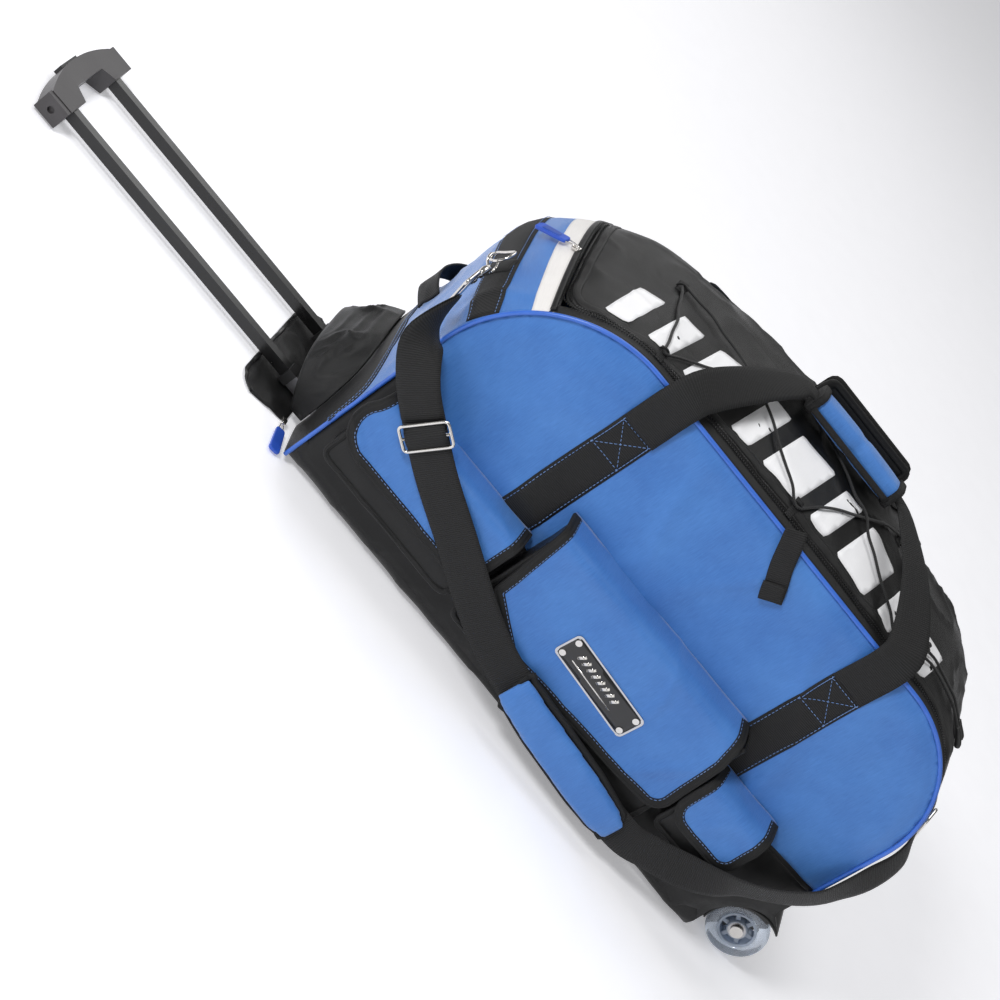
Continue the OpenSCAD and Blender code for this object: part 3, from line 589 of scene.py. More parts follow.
def noise_at(tree, vector, scale, detail=3.0, rough=0.5):
    return node(tree, "TexNoise",
                {"Vector": vector, "Scale": scale, "Detail": detail, "Roughness": rough}).outputs[0]


def mapped(tree, value, low, high, to_low=0.0, to_high=1.0):
    return node(tree, "MapRange", {"Value": value, "From Min": low, "From Max": high, "To Min": to_low,
                                   "To Max": to_high}).outputs[0]


def spread(tree, value, low, high):
    """noise, which keeps to its middle, spread from low to high"""
    return mapped(tree, value, 0.3, 0.7, low, high)


def summed(tree, a, share_a, b, share_b):
    return maths(tree, "ADD", maths(tree, "MULTIPLY", a, share_a), maths(tree, "MULTIPLY", b, share_b))


def paler(colour, gain, add):
    return tuple(min(1, gain * c + add) for c in colour[:3]) + (1,)


def surface_of(tree, shader, colour, rough, height, depth, distance):
    bump = node(tree, "Bump", {"Height": height, "Strength": depth, "Distance": distance}).outputs[0]
    for key, value in (("Base Color", colour), ("Roughness", rough), ("Normal", bump)):
        tree.links.new(value, shader.inputs[key])


def woven(name, slot, dark, light, rough, pitch=0.0011, depth=0.25, sheen=0.2, worn=0.25, streak=0.35,
          coat=0.0):
    """plain-woven cloth: crossing threads, uneven dye, streaks along the warp, fine lint"""
    made, tree, shader = material(name, slot, Sheen_Weight=sheen, Sheen_Roughness=0.45, Coat_Weight=coat,
                                  Coat_Roughness=0.35, Specular_IOR_Level=0.38)
    flat = node(tree, "UVMap", uv_map="cloth").outputs[0]
    split = node(tree, "SeparateXYZ", {0: flat})
    turn = 2 * math.pi / pitch
    wave_u = maths(tree, "SINE", maths(tree, "MULTIPLY", split.outputs[0], turn))
    wave_v = maths(tree, "SINE", maths(tree, "MULTIPLY", split.outputs[1], turn))
    weave = maths(tree, "MULTIPLY", wave_u, wave_v)
    place = node(tree, "TexCoord").outputs["Object"]
    broad = noise_at(tree, place, 14, 4, 0.6)
    fine = noise_at(tree, place, 900, 2, 0.6)
    stretched = node(tree, "Mapping", {"Vector": flat, "Scale": (900, 60, 1)}).outputs[0]
    threads = noise_at(tree, stretched, 1, 2, 0.6)
    tone = maths(tree, "ADD", maths(tree, "MULTIPLY", broad, 0.5),
                 summed(tree, threads, streak, weave, 0.07))
    dyed = lerp(tree, mapped(tree, tone, 0.25, 0.25 + 0.5 * (0.5 + streak)), dark, light)
    lint = mapped(tree, fine, 0.66, 0.8, 0, worn)
    surface_of(tree, shader, lerp(tree, lint, dyed, paler(light, 1.6, 0.04)),
               spread(tree, broad, rough - 0.07, rough + 0.09), summed(tree, weave, 0.5, threads, 0.5),
               depth, 0.0004)
    return made


def ribbed(name, slot, dark, light, rough, rib=0.0024, depth=0.7, herring=0.0, sheen=0.15):
    """webbing and binding tape: ribs across its length, slanted both ways if herring"""
    made, tree, shader = material(name, slot, Sheen_Weight=sheen, Sheen_Roughness=0.5,
                                  Specular_IOR_Level=0.32)
    flat = node(tree, "UVMap", uv_map="cloth").outputs[0]
    split = node(tree, "SeparateXYZ", {0: flat})
    slant = maths(tree, "MULTIPLY",
                  maths(tree, "PINGPONG", maths(tree, "ADD", split.outputs[1], 0.1), 0.003), herring)
    along = maths(tree, "ADD", split.outputs[0], slant)
    rib_wave = maths(tree, "SINE", maths(tree, "MULTIPLY", along, 2 * math.pi / rib))
    warp = maths(tree, "SINE", maths(tree, "MULTIPLY", split.outputs[1], 2 * math.pi / 0.0013))
    height = summed(tree, rib_wave, 0.5, warp, 0.15)
    fuzz = noise_at(tree, node(tree, "TexCoord").outputs["Object"], 1200, 2, 0.7)
    share = mapped(tree, summed(tree, height, 0.55, fuzz, 0.9), 0.0, 0.95)
    surface_of(tree, shader, lerp(tree, share, dark, light), spread(tree, fuzz, rough - 0.06, rough + 0.08),
               height, depth, 0.0005)
    return made


def moulded(name, slot, dark, light, rough, grain=900, depth=0.1, **values):
    """plastic, rubber or painted metal: fine grain, faint scuffs"""
    made, tree, shader = material(name, slot, **values)
    place = node(tree, "TexCoord").outputs["Object"]
    broad = noise_at(tree, place, 22, 4, 0.6)
    fine = noise_at(tree, place, grain, 2, 0.5)
    scuffs = noise_at(tree, node(tree, "Mapping", {"Vector": place, "Scale": (30, 260, 260)}).outputs[0], 1,
                      4, 0.7)
    marks = mapped(tree, scuffs, 0.6, 0.72, 0, 0.25)
    plain = lerp(tree, spread(tree, broad, 0, 1), dark, light)
    rougher = maths(tree, "ADD", spread(tree, broad, rough - 0.05, rough + 0.05),
                    maths(tree, "MULTIPLY", marks, 0.3))
    surface_of(tree, shader, lerp(tree, marks, plain, paler(light, 1.3, 0.02)), rougher, fine, depth,
               0.0002)
    return made


def grey(v, a=1.0):
    return (v, v, v * 1.03, a)


blue = woven("blue_cloth", "blue_fabric", (0.030, 0.145, 0.47, 1), (0.075, 0.255, 0.66, 1), 0.38, depth=0.5,
             sheen=0.3, coat=0.15)
black = woven("black_cloth", "black_fabric", grey(0.0035), grey(0.011), 0.42, depth=0.4, sheen=0.02,
              worn=0.06)
lid_black = woven("lid_cloth", "black_fabric", grey(0.003), grey(0.009), 0.36, pitch=0.0008, depth=0.35,
                  sheen=0.01, worn=0.04)
white = woven("white_cloth", "white_fabric", (0.74, 0.72, 0.70, 1), (0.86, 0.84, 0.82, 1), 0.6, worn=0.05)
print_white = woven("print_white", "white_fabric", (0.86, 0.86, 0.88, 1), (0.93, 0.93, 0.94, 1), 0.5,
                    depth=0.12, worn=0.0)
web = ribbed("webbing_black", "webbing", grey(0.003), grey(0.020), 0.6, depth=0.9, sheen=0.02)
binding = ribbed("binding_tape", "webbing", grey(0.003), grey(0.018), 0.6, rib=0.0017, herring=0.8,
                 sheen=0.02)
thread = moulded("thread_blue", "piping_cord", (0.10, 0.21, 0.5, 1), (0.2, 0.33, 0.62, 1), 0.5)
piping_blue = moulded("piping_blue", "piping_cord", (0.03, 0.12, 0.52, 1), (0.045, 0.17, 0.66, 1), 0.32,
                      grain=500, Coat_Weight=0.2, Coat_Roughness=0.3)
cord_black = ribbed("cord_black", "bungee", grey(0.006), grey(0.028), 0.55, rib=0.0021, herring=0.6)
plastic = moulded("plastic_black", "black_plastic", grey(0.008), grey(0.02), 0.42, depth=0.25)
teeth_black = moulded("zip_black", "black_plastic", grey(0.01), grey(0.02), 0.3)
board = moulded("board_grey", "stiff_board", grey(0.03), grey(0.05), 0.6)
grip_grey = moulded("grip_grey", "grey_plastic", (0.036, 0.033, 0.035, 1), (0.056, 0.052, 0.055, 1), 0.38,
                    depth=0.3)
tube_black = moulded("tube_black", "tube_metal", grey(0.006), grey(0.011), 0.3, grain=400, depth=0.05,
                     Metallic=0.25, Coat_Weight=0.3, Coat_Roughness=0.2)
steel = moulded("steel", "steel", grey(0.42), grey(0.55), 0.28, grain=300, depth=0.1, Metallic=1.0)
nickel = moulded("nickel", "nickel", (0.62, 0.6, 0.57, 1), (0.72, 0.7, 0.67, 1), 0.17, grain=200,
                 depth=0.05, Metallic=1.0)
plate_black = moulded("plate_black", "name_metal", grey(0.008), grey(0.014), 0.3, grain=600, depth=0.3,
                      Coat_Weight=0.3)
plate_rim = moulded("plate_rim", "name_metal", grey(0.5), grey(0.6), 0.25, grain=300, Metallic=1.0)
rubber_blue = moulded("rubber_blue", "blue_rubber", (0.02, 0.075, 0.45, 1), (0.03, 0.11, 0.6, 1), 0.35,
                      depth=0.15)
label_blue = moulded("label_blue", "blue_rubber", (0.02, 0.07, 0.36, 1), (0.03, 0.09, 0.42, 1), 0.45)
clear = moulded("wheel_clear", "clear_tyre", (0.72, 0.81, 0.94, 1), (0.84, 0.9, 0.98, 1), 0.08, grain=120,
                depth=0.05, Transmission_Weight=0.8, IOR=1.45)
clear_hub = moulded("hub_clear", "clear_hub", (0.6, 0.7, 0.85, 1), (0.72, 0.8, 0.92, 1), 0.15, grain=120,
                    depth=0.05, Transmission_Weight=0.55, IOR=1.45)

# ---- free cord: the shoulder strap, with its fittings ----

STRAP_ROUTE = [[-192, -166, 282, 0.95, -0.06, 0.17], [-190, -190, 262, 0.75, -0.65, 0.1],
               [-180, -208, 240, 0.35, -0.93, 0.05], [-150, -218, 213, 0, -1, 0],
               [-112, -219, 189, 0, -1, 0], [-54, -220, 158, 0, -1, 0], [16, -221, 128, 0, -1, 0],
               [86, -222, 97, 0, -1, 0], [140, -223, 78, 0, -1, 0], [188, -224, 69, 0, -1, 0],
               [290, -224, 57, 0, -1, 0], [401, -223, 50, 0, -1, 0], [443, -221, 61, 0, -1, -0.05],
               [481, -221, 79, 0, -1, 0], [512, -221, 99, 0.12, -0.95, -0.18],
               [538, -217, 120, 0.32, -0.8, -0.4], [565, -210, 139, 0.4, -0.77, -0.4],
               [587, -203, 158, 0.5, -0.77, -0.3], [605, -195, 180, 0.65, -0.7, -0.1],
               [616, -183, 206, 0.72, -0.65, 0.22], [626, -167, 229, 0.65, -0.7, 0.3],
               [634, -149, 252, 0.7, -0.6, 0.35], [636, -131, 269, 0.75, -0.5, 0.4],
               [631.6, -112.8, 280.2, 0.85, -0.35, 0.4]]
WEB_W, WEB_T = 50.0, 2.0


def ribbon(name, route, width, thick, material, body="bag", step=6, bow=0.0, lift=0.0):
    """webbing along a route of points, each with its outward direction"""
    route = curve(route, step)
    path, face = route[:, :3], unit(route[:, 3:])
    points, faces, uv = ribbon_mesh(path + face * lift, face, width, thick, bow=bow)
    return add_mesh(name, points, faces, material, body, uv), path


strap, strap_line = ribbon("shoulder_strap_webbing", STRAP_ROUTE, WEB_W - 0.5, WEB_T, web, bow=0.6)
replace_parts(strap, "shoulder_strap")


def simulated(piece, pressure=4.0, cap=6.0, voxel=4.5, frames_run=20):
    """pads the piece out as stuffed cloth, no point moving more than cap millimetres"""
    bpy.ops.object.select_all(action="DESELECT")
    bpy.context.view_layer.objects.active = piece
    piece.select_set(True)
    remesh = piece.modifiers.new("remesh", "REMESH")
    remesh.mode, remesh.voxel_size = "VOXEL", voxel * MM
    bpy.ops.object.modifier_apply(modifier=remesh.name)
    before = np.array([v.co for v in piece.data.vertices])
    cloth = piece.modifiers.new("cloth", "CLOTH")
    cloth.settings.use_pressure = True
    cloth.settings.uniform_pressure_force = pressure
    cloth.settings.quality = 5
    cloth.settings.effector_weights.gravity = 0
    cloth.point_cache.frame_start, cloth.point_cache.frame_end = 1, frames_run
    for f in range(1, frames_run + 1):
        scene.frame_set(f)
    bpy.ops.object.modifier_apply(modifier=cloth.name)
    scene.frame_set(1)
    after = np.array([v.co for v in piece.data.vertices])
    move = after - before
    far = np.linalg.norm(move, axis=1, keepdims=True)
    after = before + move * np.minimum(1, cap * MM / np.maximum(far, 1e-9))
    piece.data.vertices.foreach_set("co", after.ravel())
    shade_smooth(piece.data)


def finish_pad(piece, flat):
    """one subdivision, and pattern coordinates for the weave"""
    bpy.context.view_layer.objects.active = piece
    smooth = piece.modifiers.new("smooth", "SUBSURF")
    smooth.levels = smooth.render_levels = 1
    bpy.ops.object.modifier_apply(modifier=smooth.name)
    points = np.array([v.co for v in piece.data.vertices]) / MM
    set_uv(piece.data, flat(points))
    shade_smooth(piece.data)


# shoulder pad: stuffed blue face over a bound black back
PAD_AXIS = [[188, -230.5, 69], [236, -231, 62], [290, -231, 57], [345, -231, 52], [398, -230, 47]]
pad_along = curve(PAD_AXIS, 4)
pad_t = np.linspace(0, 1, len(pad_along))
pad_half = np.interp(pad_t, [0, 0.08, 0.3, 0.7, 0.9, 1], [24, 27, 29, 29, 25, 17])
pad_deep = np.interp(pad_t, [0, 0.06, 0.9, 1], [2.4, 4.4, 4.4, 2.4])
pad_rings = []
for p, w, h in zip(pad_along, pad_half, pad_deep):
    across = squared(np.cos(circle(28)), 0.45) * (w - 2)
    out = squared(np.sin(circle(28)), 0.7) * h
    pad_rings.append(np.stack([p[0] + across * 0.1, p[1] - 0.4 - out, p[2] + across], 1))
pad = add_mesh("shoulder_pad_cover", *rings_mesh(pad_rings), blue)
simulated(pad, pressure=2.5, cap=1.6, voxel=3.2)
finish_pad(pad, lambda p: p[:, [0, 2]])
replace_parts(pad, "shoulder_pad")

pad_line = Surface(lambda x, z: np.stack([x, -226.6 + 0 * x, z], -1))
pad_high = np.stack([pad_along[:, 0], pad_along[:, 2] + pad_half], 1)
pad_low = np.stack([pad_along[:, 0], pad_along[:, 2] - pad_half], 1)
pad_edge = np.vstack([pad_high[::3], pad_low[::-3]])
pad_back = cloth_piece("shoulder_pad_back", pad_line, pad_edge, 6, 1.2, black, lift=-1.2)
pad_binding = tape("shoulder_pad_binding", pad_line, curve(inset(pad_edge, -2), 4, True), 8, 4.6, binding,
                   "bag", lift=-2.2, closed=True)
label_at = Surface(lambda x, z: np.stack([x, -236.6 + 0 * x, z], -1))


def turned(outline, centre, degrees):
    a = math.radians(degrees)
    o = np.asarray(outline, float)
    return np.stack([centre[0] + o[:, 0] * math.cos(a) - o[:, 1] * math.sin(a),
                     centre[1] + o[:, 0] * math.sin(a) + o[:, 1] * math.cos(a)], 1)


def box_outline(w, h, r, per=7):
    return rounded([[-w / 2, -h / 2], [w / 2, -h / 2], [w / 2, h / 2], [-w / 2, h / 2]], [r] * 4, per)


LABEL_AT, LABEL_TILT = (292, 57), -6
label_outline = turned(box_outline(112, 28, 1), LABEL_AT, LABEL_TILT)
pad_label = cloth_piece("shoulder_pad_label", label_at, label_outline, 5, 0.5, label_blue, lift=-0.5)
pad_bars = add_parts("shoulder_pad_bars", [
    tape_mesh(label_at, turned([[x - 5, -6], [x + 5, 6]], LABEL_AT, LABEL_TILT), 5.5, 0.35)
    for x in (-38, -22, -6, 10, 26)], print_white, as_cloth=True)
label_seam = turned(box_outline(107, 23, 1), LABEL_AT, LABEL_TILT)
pad_stitch = stitches("shoulder_pad_stitching", [(label_at, label_seam, 0.1, True)], length=2.4, gap=1.2,
                      radius=0.3)

# tri-glide and the doubled webbing above it
SLIDER_AT = np.array([-98, -224.5, 182.0])
SLIDER_U, SLIDER_W = unit([58, 0, -30]), unit([30, 0, 58])


def frame_path(o, u, w, len_u, len_w):
    """the round-cornered path of a wire frame about a point, in the plane of two directions"""
    outline = resample(box_outline(len_u, len_w, 5, 5), 2.5, True)
    return o + outline[:, :1] * u + outline[:, 1:] * w


glide_parts = [round_mesh(frame_path(SLIDER_AT, SLIDER_U, SLIDER_W, 30, 58), 2.0, 12, True, up=(0, 1, 0)),
               round_mesh([SLIDER_AT - SLIDER_W * 27, SLIDER_AT, SLIDER_AT + SLIDER_W * 27], 2.0, 12,
                          up=(0, 1, 0))]
glide = add_parts("strap_glide", glide_parts, nickel)
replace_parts(glide, "strap_slider")
fold, _ = ribbon("shoulder_strap_fold", STRAP_ROUTE[:4] + [[-116, -219.4, 191.4, 0, -1, 0]], WEB_W - 1.5,
                 WEB_T, web, "bag", bow=0.6, lift=2.4)
TURN_ROUTE = [[-112, -221.6, 189.5, 0, -1, 0], [-106, -224.6, 186, -0.1, -1, 0],
              [-98, -227.4, 182, 0, -1, 0], [-90, -224.6, 178, 0.1, -1, 0], [-82, -221.9, 173.6, 0, -1, 0]]
loop_over, _ = ribbon("shoulder_strap_turn", TURN_ROUTE, WEB_W - 2, WEB_T, web, step=2)

# D-ring on the crest band, snap hook with its gate, and the square ring that the webbing is sewn on
RING_AT = np.array([-190, -84, 330.0])
RING_U = unit([-6, -74, -36])
RING_W = unit(np.cross([-0.91, 0, 0.41], RING_U))
RING_N = np.cross(RING_U, RING_W)


def ring_frame(points, o=RING_AT, u=RING_U, w=RING_W, n=RING_N):
    """points given along the ring's tab, across it and out of the ring's plane"""
    p = np.asarray(points, float)
    return o + p[:, :1] * u + p[:, 1:2] * w + p[:, 2:] * n


d_bow = [[a, b, 0] for a, b in outline_arc(4, 0, 15, 75, -75, 13)]
d_points = [[0, 0, 0], [0, 14, 0], *d_bow, [0, -14, 0]]
d_ring = round_cord("crest_d_ring", curve(ring_frame(d_points), 1.6, True), 1.8, nickel, "bag", 12, True,
                    up=RING_N)
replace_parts(d_ring, "d_ring")
HOOK_AT = RING_AT + RING_U * 13
LOOP_AXIS = unit(np.cross([-0.98, -0.02, -0.21], RING_U))


def hook_frame(points):
    """hook coordinates: along the strap, out from the bag, across"""
    return ring_frame(points, HOOK_AT, RING_U, RING_N, -RING_W)


def swivel(*profile):
    """turned part of the hook from its (along, out, radius)"""
    along, out, radii = np.array(profile, float).T
    return round_mesh(hook_frame(np.stack([along, out, 0 * along], 1)), radii, 16, up=RING_W)


hook_arc = [[a, b, 0] for a, b in outline_arc(10, 1, 9, 150, 0, 11)]
hook_parts = [
    round_mesh(curve(hook_frame(hook_arc + [[19.4, -3, 0], [19, -8, 0]]), 1.5), 1.9, 12, up=RING_W),
    swivel((17, -1, 2.6), (20, -1, 4.2), (26, 0, 4.6), (33, 0, 4.0), (34, 0, 3.0)),
    swivel((34, 0, 2.4), (35, 0, 4.4), (37, 0, 4.4), (38, 0, 2.6), (44, 0, 2.6), (45, 0, 4.0), (49, 0, 4.0),
           (50, 0, 2.4)),
    round_mesh(frame_path(HOOK_AT + RING_U * 66, RING_U, LOOP_AXIS, 26, WEB_W + 4), 2.0, 12, True,
               up=np.cross(RING_U, LOOP_AXIS)),
    swivel((49, 0, 3.2), (53, 0, 3.2)),
]
hook = add_parts("snap_hook_body", hook_parts, nickel)
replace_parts(hook, "snap_hook")
gate = round_cord("snap_hook_gate", hook_frame([[2, -4, 0], [9, -6.4, 0], [18, -8, 0]]), [1.5, 1.5, 1.9],
                  nickel, "gate", 10, up=RING_W)
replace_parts(gate, "hook_gate")

END_U = unit([0.07, 0.87, 0.48])
END_W = unit(np.cross([0.89, -0.25, 0.33], END_U))
end_frame = frame_path(np.array([633, -95, 290.0]), END_U, END_W, 24, WEB_W + 6)
end_ring = round_cord("wheel_end_ring", end_frame, 2.2, nickel, "bag", 12, True, up=(1, 0, 0))
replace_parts(end_ring, "end_ring")

# ---- shell of the bag ----

blue_low = [[604, 166], [560, 165], [526, 163], [500, 156], [478, 150], [400, 150], [200, 150], [0, 170],
            [-166, 184]]
rim_s = np.concatenate([np.arange(162, S_SHOULDER, 16), np.arange(S_SHOULDER, S_TOP, 10),
                        np.arange(S_TOP, S_NOSE, 24), np.arange(S_NOSE, S_FRONT, 9),
                        [S_FRONT, S_FRONT + 50, S_FRONT + 104]])


def rim_line(s, by=0.0):
    x, z, nx, nz = rim(s)
    return np.stack([x - nx * by, z - nz * by], 1)


blue_outline = np.vstack([rim_line(rim_s, 1.0), blue_low])
arch = outline_arc(609, 51, 50.5, 74, 190, 12)
black_outline = np.array(blue_low[::-1] + [[604, 122], [606, 110], [620, 101]] + arch
                         + [[559, 30], [549, 40], [536, 31], [530, 13], [510, 20], [470, 22], [300, 20],
                            [120, 22], [-60, 20], [-167, 22]])
for tag, side, panel, sign in (("near", near_side, "side_panel_near", -1),
                               ("far", far_side, "side_panel_far", 1)):
    blue_side = cloth_piece(f"side_{tag}_upper", side, blue_outline, 7, 3, blue, lift=-3)
    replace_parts(blue_side, panel)
    cloth_piece(f"side_{tag}_lower", side, black_outline, 7, 3, black, lift=-2.8)
    tape(f"side_{tag}_seam_tape", side, curve(blue_low, 8), 7, 0.7, black, lift=0.1)
    cord_s = np.concatenate([[-16, 20, 80, 150], rim_s[4:-2], [S_FRONT + 40, S_FRONT + 80, S_FRONT + 108]])
    x, z, nx, nz = rim(cord_s)
    drop = slump(cord_s) if sign > 0 else 0 * cord_s
    by = 1.6 + drop
    route = np.stack([x - nx * by, sign * (HALF + 1.6 - SLUMP_IN * drop), z - nz * by], 1)
    piping = round_cord(f"piping_{tag}", curve(route, 6), 2.6, piping_blue, "bag", 12, up=(0, 1, 0))
    if tag == "near":
        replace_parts(piping, "piping")

# crowned top: black end panel, blue gusset, white stripes, blue and black wheel end
end_seam = curve([[54, -176], [92, -168], [110, -158], [124, -125], [132, -79], [130, 0], [132, 79],
                  [124, 125], [110, 158], [92, 168], [54, 176]], 8)


def strip(s0, s1, half=175.6):
    return [[s0, -half], [s1, -half], [s1, half], [s0, half]]


end_outline = np.vstack([[[-18, 176], [-18, 114], [14, 114], [14, -114], [-18, -114], [-18, -176]],
                         end_seam])
end_panel = cloth_piece("end_panel_black", top, end_outline, 8, 3, black, lift=-3)
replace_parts(end_panel, "gusset_handle_end")
cloth_piece("crest_panel_blue", top, np.vstack([end_seam, [[334, 176], [334, -176]]]), 7, 3, blue, lift=-3)
tape("end_panel_binding", top, end_seam, 11, 1.1, binding, lift=0.1)
white_at_lid = cloth_piece("white_stripe_handle_end", top, strip(333, 353), 6, 3, white, lift=-2.6)
cloth_piece("white_stripe_wheel_end", top, strip(1078, 1100), 6, 3, white, lift=-2.6)
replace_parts(white_at_lid, "white_stripes")
cloth_piece("zip_tape_handle_end", top, strip(352, S_LID - 1), 5, 2.4, teeth_black, lift=-2.6)
wheel_panel = cloth_piece("wheel_end_black", top, [
    [1184, -176], [S_FOOT, -176], [S_FOOT + 4, -94], [S_FRONT + 215, -90], [S_FRONT + 250, -76],
    [S_FRONT + 262, -56], [S_FRONT + 262, 56], [S_FRONT + 250, 76], [S_FRONT + 215, 90], [S_FOOT + 4, 94],
    [S_FOOT, 176], [1184, 176]], 8, 3, black, lift=-3)
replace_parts(wheel_panel, "gusset_wheel_end")
cloth_piece("wheel_end_blue", top, strip(1099, 1185), 7, 3, blue, lift=-3)
cloth_piece("wheel_end_hem", top, strip(S_HINGE + 3, 1079), 5, 3, black, lift=-2.8)
for tag, side in (("near", -1), ("far", 1)):
    seam, hem = side * 175.8, side * (LID_Y + 1)
    corners = [[S_LID - 4, seam], [S_HINGE + 4, seam], [S_HINGE + 4, hem], [S_LID - 4, hem]]
    strip_piece = cloth_piece(f"zip_strip_{tag}", top, corners, 6, 3, black, lift=-3)
    if tag == "near":
        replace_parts(strip_piece, "zip_strips")

# base: black cloth wrapped under the board, slack at its corners
SECTION = curve([[-177.5, 40], [-177, 26], [-174, 12], [-163, 4.2], [-140, 3.4], [0, 3.4], [140, 3.4],
                 [163, 4.2], [174, 12], [177, 26], [177.5, 40]], 2)
GIRTH = lengths(SECTION)
HALF_GIRTH = GIRTH[-1] / 2


def base_place(x, t):
    y, z = np.interp(t + HALF_GIRTH, GIRTH, SECTION[:, 0]), np.interp(t + HALF_GIRTH, GIRTH, SECTION[:, 1])
    corner = window(np.abs(t), HALF_GIRTH - 48, HALF_GIRTH - 2, 18)
    slack = corner * (2.2 * ripple(x, t, 42, 4.4) + 1.5 * creases(x + t, t, 60, 7.7))
    outward = np.stack([np.sign(y) * 0.8, -0.6 + 0 * y], -1)
    y, z = y + outward[..., 0] * slack, z + outward[..., 1] * slack
    return np.stack([x, y, np.maximum(z, 0.8 + 0 * z)], -1)


girth_steps = np.concatenate([np.arange(-HALF_GIRTH, -HALF_GIRTH + 52, 4),
                              np.linspace(-HALF_GIRTH + 56, HALF_GIRTH - 56, 15),
                              np.arange(HALF_GIRTH - 52, HALF_GIRTH + 1, 4)])
base = grid_piece("base_cloth", base_place, np.arange(-169, 562, 7.3), girth_steps, 2.2, black, outward=-1)
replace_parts(base, "base_skin")
grid_piece("base_tongue", lambda x, y: np.stack([x, y, 3.4 + 0 * x], -1), np.linspace(555, 611, 9),
           np.linspace(-94, 94, 12), 2.2, black, outward=-1)
for tag, side in (("near", -1), ("far", 1)):
    trough(f"wheel_well_{tag}", (610, 50), 49, np.linspace(66, 196, 28), side * np.linspace(93, 176.5, 14),
           2, side)

# ---- zips ----


TOOTH = np.array([[x * 0.85, y * 1.1, 0] for x, y in ((-1, -1), (1, -1), (1, 1), (-1, 1))])
TOOTH = np.vstack([TOOTH, TOOTH * 0.7 + [0, 0, 1.5]])


def zip_teeth(name, path, body="bag", lift=0.4, pitch=3.2):
    points, faces, _ = planted(TOOTH, BOX_FACES, top, resample(path, pitch), False, 1.0, lift)
    add_mesh(name, points, faces, teeth_black, body, smooth=False, fix=False)


def lid_line(by):
    return rounded([[S_HINGE - 6, -LID_Y - by], [S_LID - by, -LID_Y - by], [S_LID - by, LID_Y + by],
                    [S_HINGE - 6, LID_Y + by]], [0, 26, 26, 0])


zip_teeth("zip_teeth_lid", resample(lid_line(-2.2), 3), "lid")
zip_teeth("zip_teeth_bag", resample(lid_line(2.2), 3))
tape("zip_roll_bag", top, curve([[S_LID - 6.5, y] for y in (-172, -80, 80, 172)], 6), 7, 2.6,
     lid_black, lift=-0.4)

# ---- lid ----

lid_corners = [[S_HINGE, -LID_Y], [S_LID, -LID_Y], [S_LID, LID_Y], [S_HINGE, LID_Y]]
lid = cloth_piece("lid_cloth", top, rounded(lid_corners, [0, 24, 24, 0]), 7, 3, lid_black, "lid", lift=-3)
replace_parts(lid, "lid_panel")
tape("lid_hem", top, resample(lid_line(-9), 6), 9, 1.0, black, "lid", lift=0.1)
hinge_fold = grid_piece("lid_hinge_fold", top_place, np.linspace(S_HINGE - 7, S_HINGE + 7, 9),
                        np.linspace(-LID_Y + 2, LID_Y - 2, 40), 1.6, black, None)
top.at([[S_HINGE - 5, 0]])[0] * MM
top.at([[S_HINGE + 5, 0]])[0] * MM
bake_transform(hinge_fold)

# slanted bars stand in for the printed name
BARS = [(404, 30), (456, 30), (508, 58), (588, 30), (640, 58), (720, 30), (772, 58), (852, 30), (904, 44)]
for i, (s, w) in enumerate(BARS):
    low, high, lean = -146, -66, 22
    outline = rounded([[s, low], [s + w, low], [s + w + lean, high], [s + lean, high]], [3] * 4, 4)
    cloth_piece(f"lid_print_{i + 1}", top, outline, 6, 0.3, print_white, "lid", lift=0.25)

# bungee laced through six loops, with its lock and tips
LACING = [[1036, -0.50, 4], [990, -0.54, 4], [950, -0.58, 4], [928, -0.60, 6], [840, -0.06, 4],
          [702, -0.86, 4], [582, -0.46, 8], [462, -0.06, 4], [480, -0.86, 4], [565, -0.46, 4],
          [650, -0.06, 4], [770, -0.46, 8], [905, -0.86, 4], [928, -0.70, 6], [950, -0.66, 4],
          [990, -0.63, 4], [1036, -0.60, 4]]
CUTS = [3, 2, 2, 5, 7, 6, 6, 7, 5, 5, 6, 7, 2, 2, 2, 3]
lace = []
for i, cuts in enumerate(CUTS):
    a, b = np.array(LACING[i], float), np.array(LACING[i + 1], float)
    lace += [a + (b - a) * k / cuts for k in range(cuts)]
lace = np.array(lace + [LACING[-1]], float)
lace_points = top.at(np.stack([lace[:, 0], lace[:, 1] * HALF], 1), lace[:, 2])
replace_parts(round_cord("bungee_lacing", curve(lace_points, 5), 1.7, cord_black, "lid"), "bungee_cord")
tip_parts = []
for v in (-0.50, -0.60):
    line = curve([top.at([[s, v * HALF]], h)[0]
                  for s, h in ((1033, 4), (1040, 4), (1050, 4.4), (1056, 4.5))], 2)
    t = np.linspace(0, 1, len(line))
    tip_parts.append(round_mesh(line, np.interp(t, [0, 0.2, 0.85, 1], [2.4, 3.0, 4.0, 3.2]), 12))
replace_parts(add_parts("bungee_tips", tip_parts, plastic, "lid"), "cord_ends")
loop_parts = []
for s, v in ((840, -0.06), (702, -0.86), (462, -0.06), (480, -0.86), (650, -0.06), (905, -0.86)):
    y = v * HALF
    outward = -1 if v < -0.5 else 1
    loop_parts.append(tape_mesh(top, curve([[s, y - 11 * outward], [s, y], [s, y + 13 * outward]], 3), 11,
                                1.4, 0.3))
    eye = [top.at([[s + a, y - 4 * outward]], h)[0]
           for a, h in ((-6, 1.4), (-4, 4.5), (0, 6.4), (4, 4.5), (6, 1.4))]
    loop_parts.append(round_mesh(curve(eye, 1.5), 1.3, 8))
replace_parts(add_parts("bungee_guides", loop_parts, web, "lid", as_cloth=True), "bungee_loops")

# ---- webbing on the sides ----

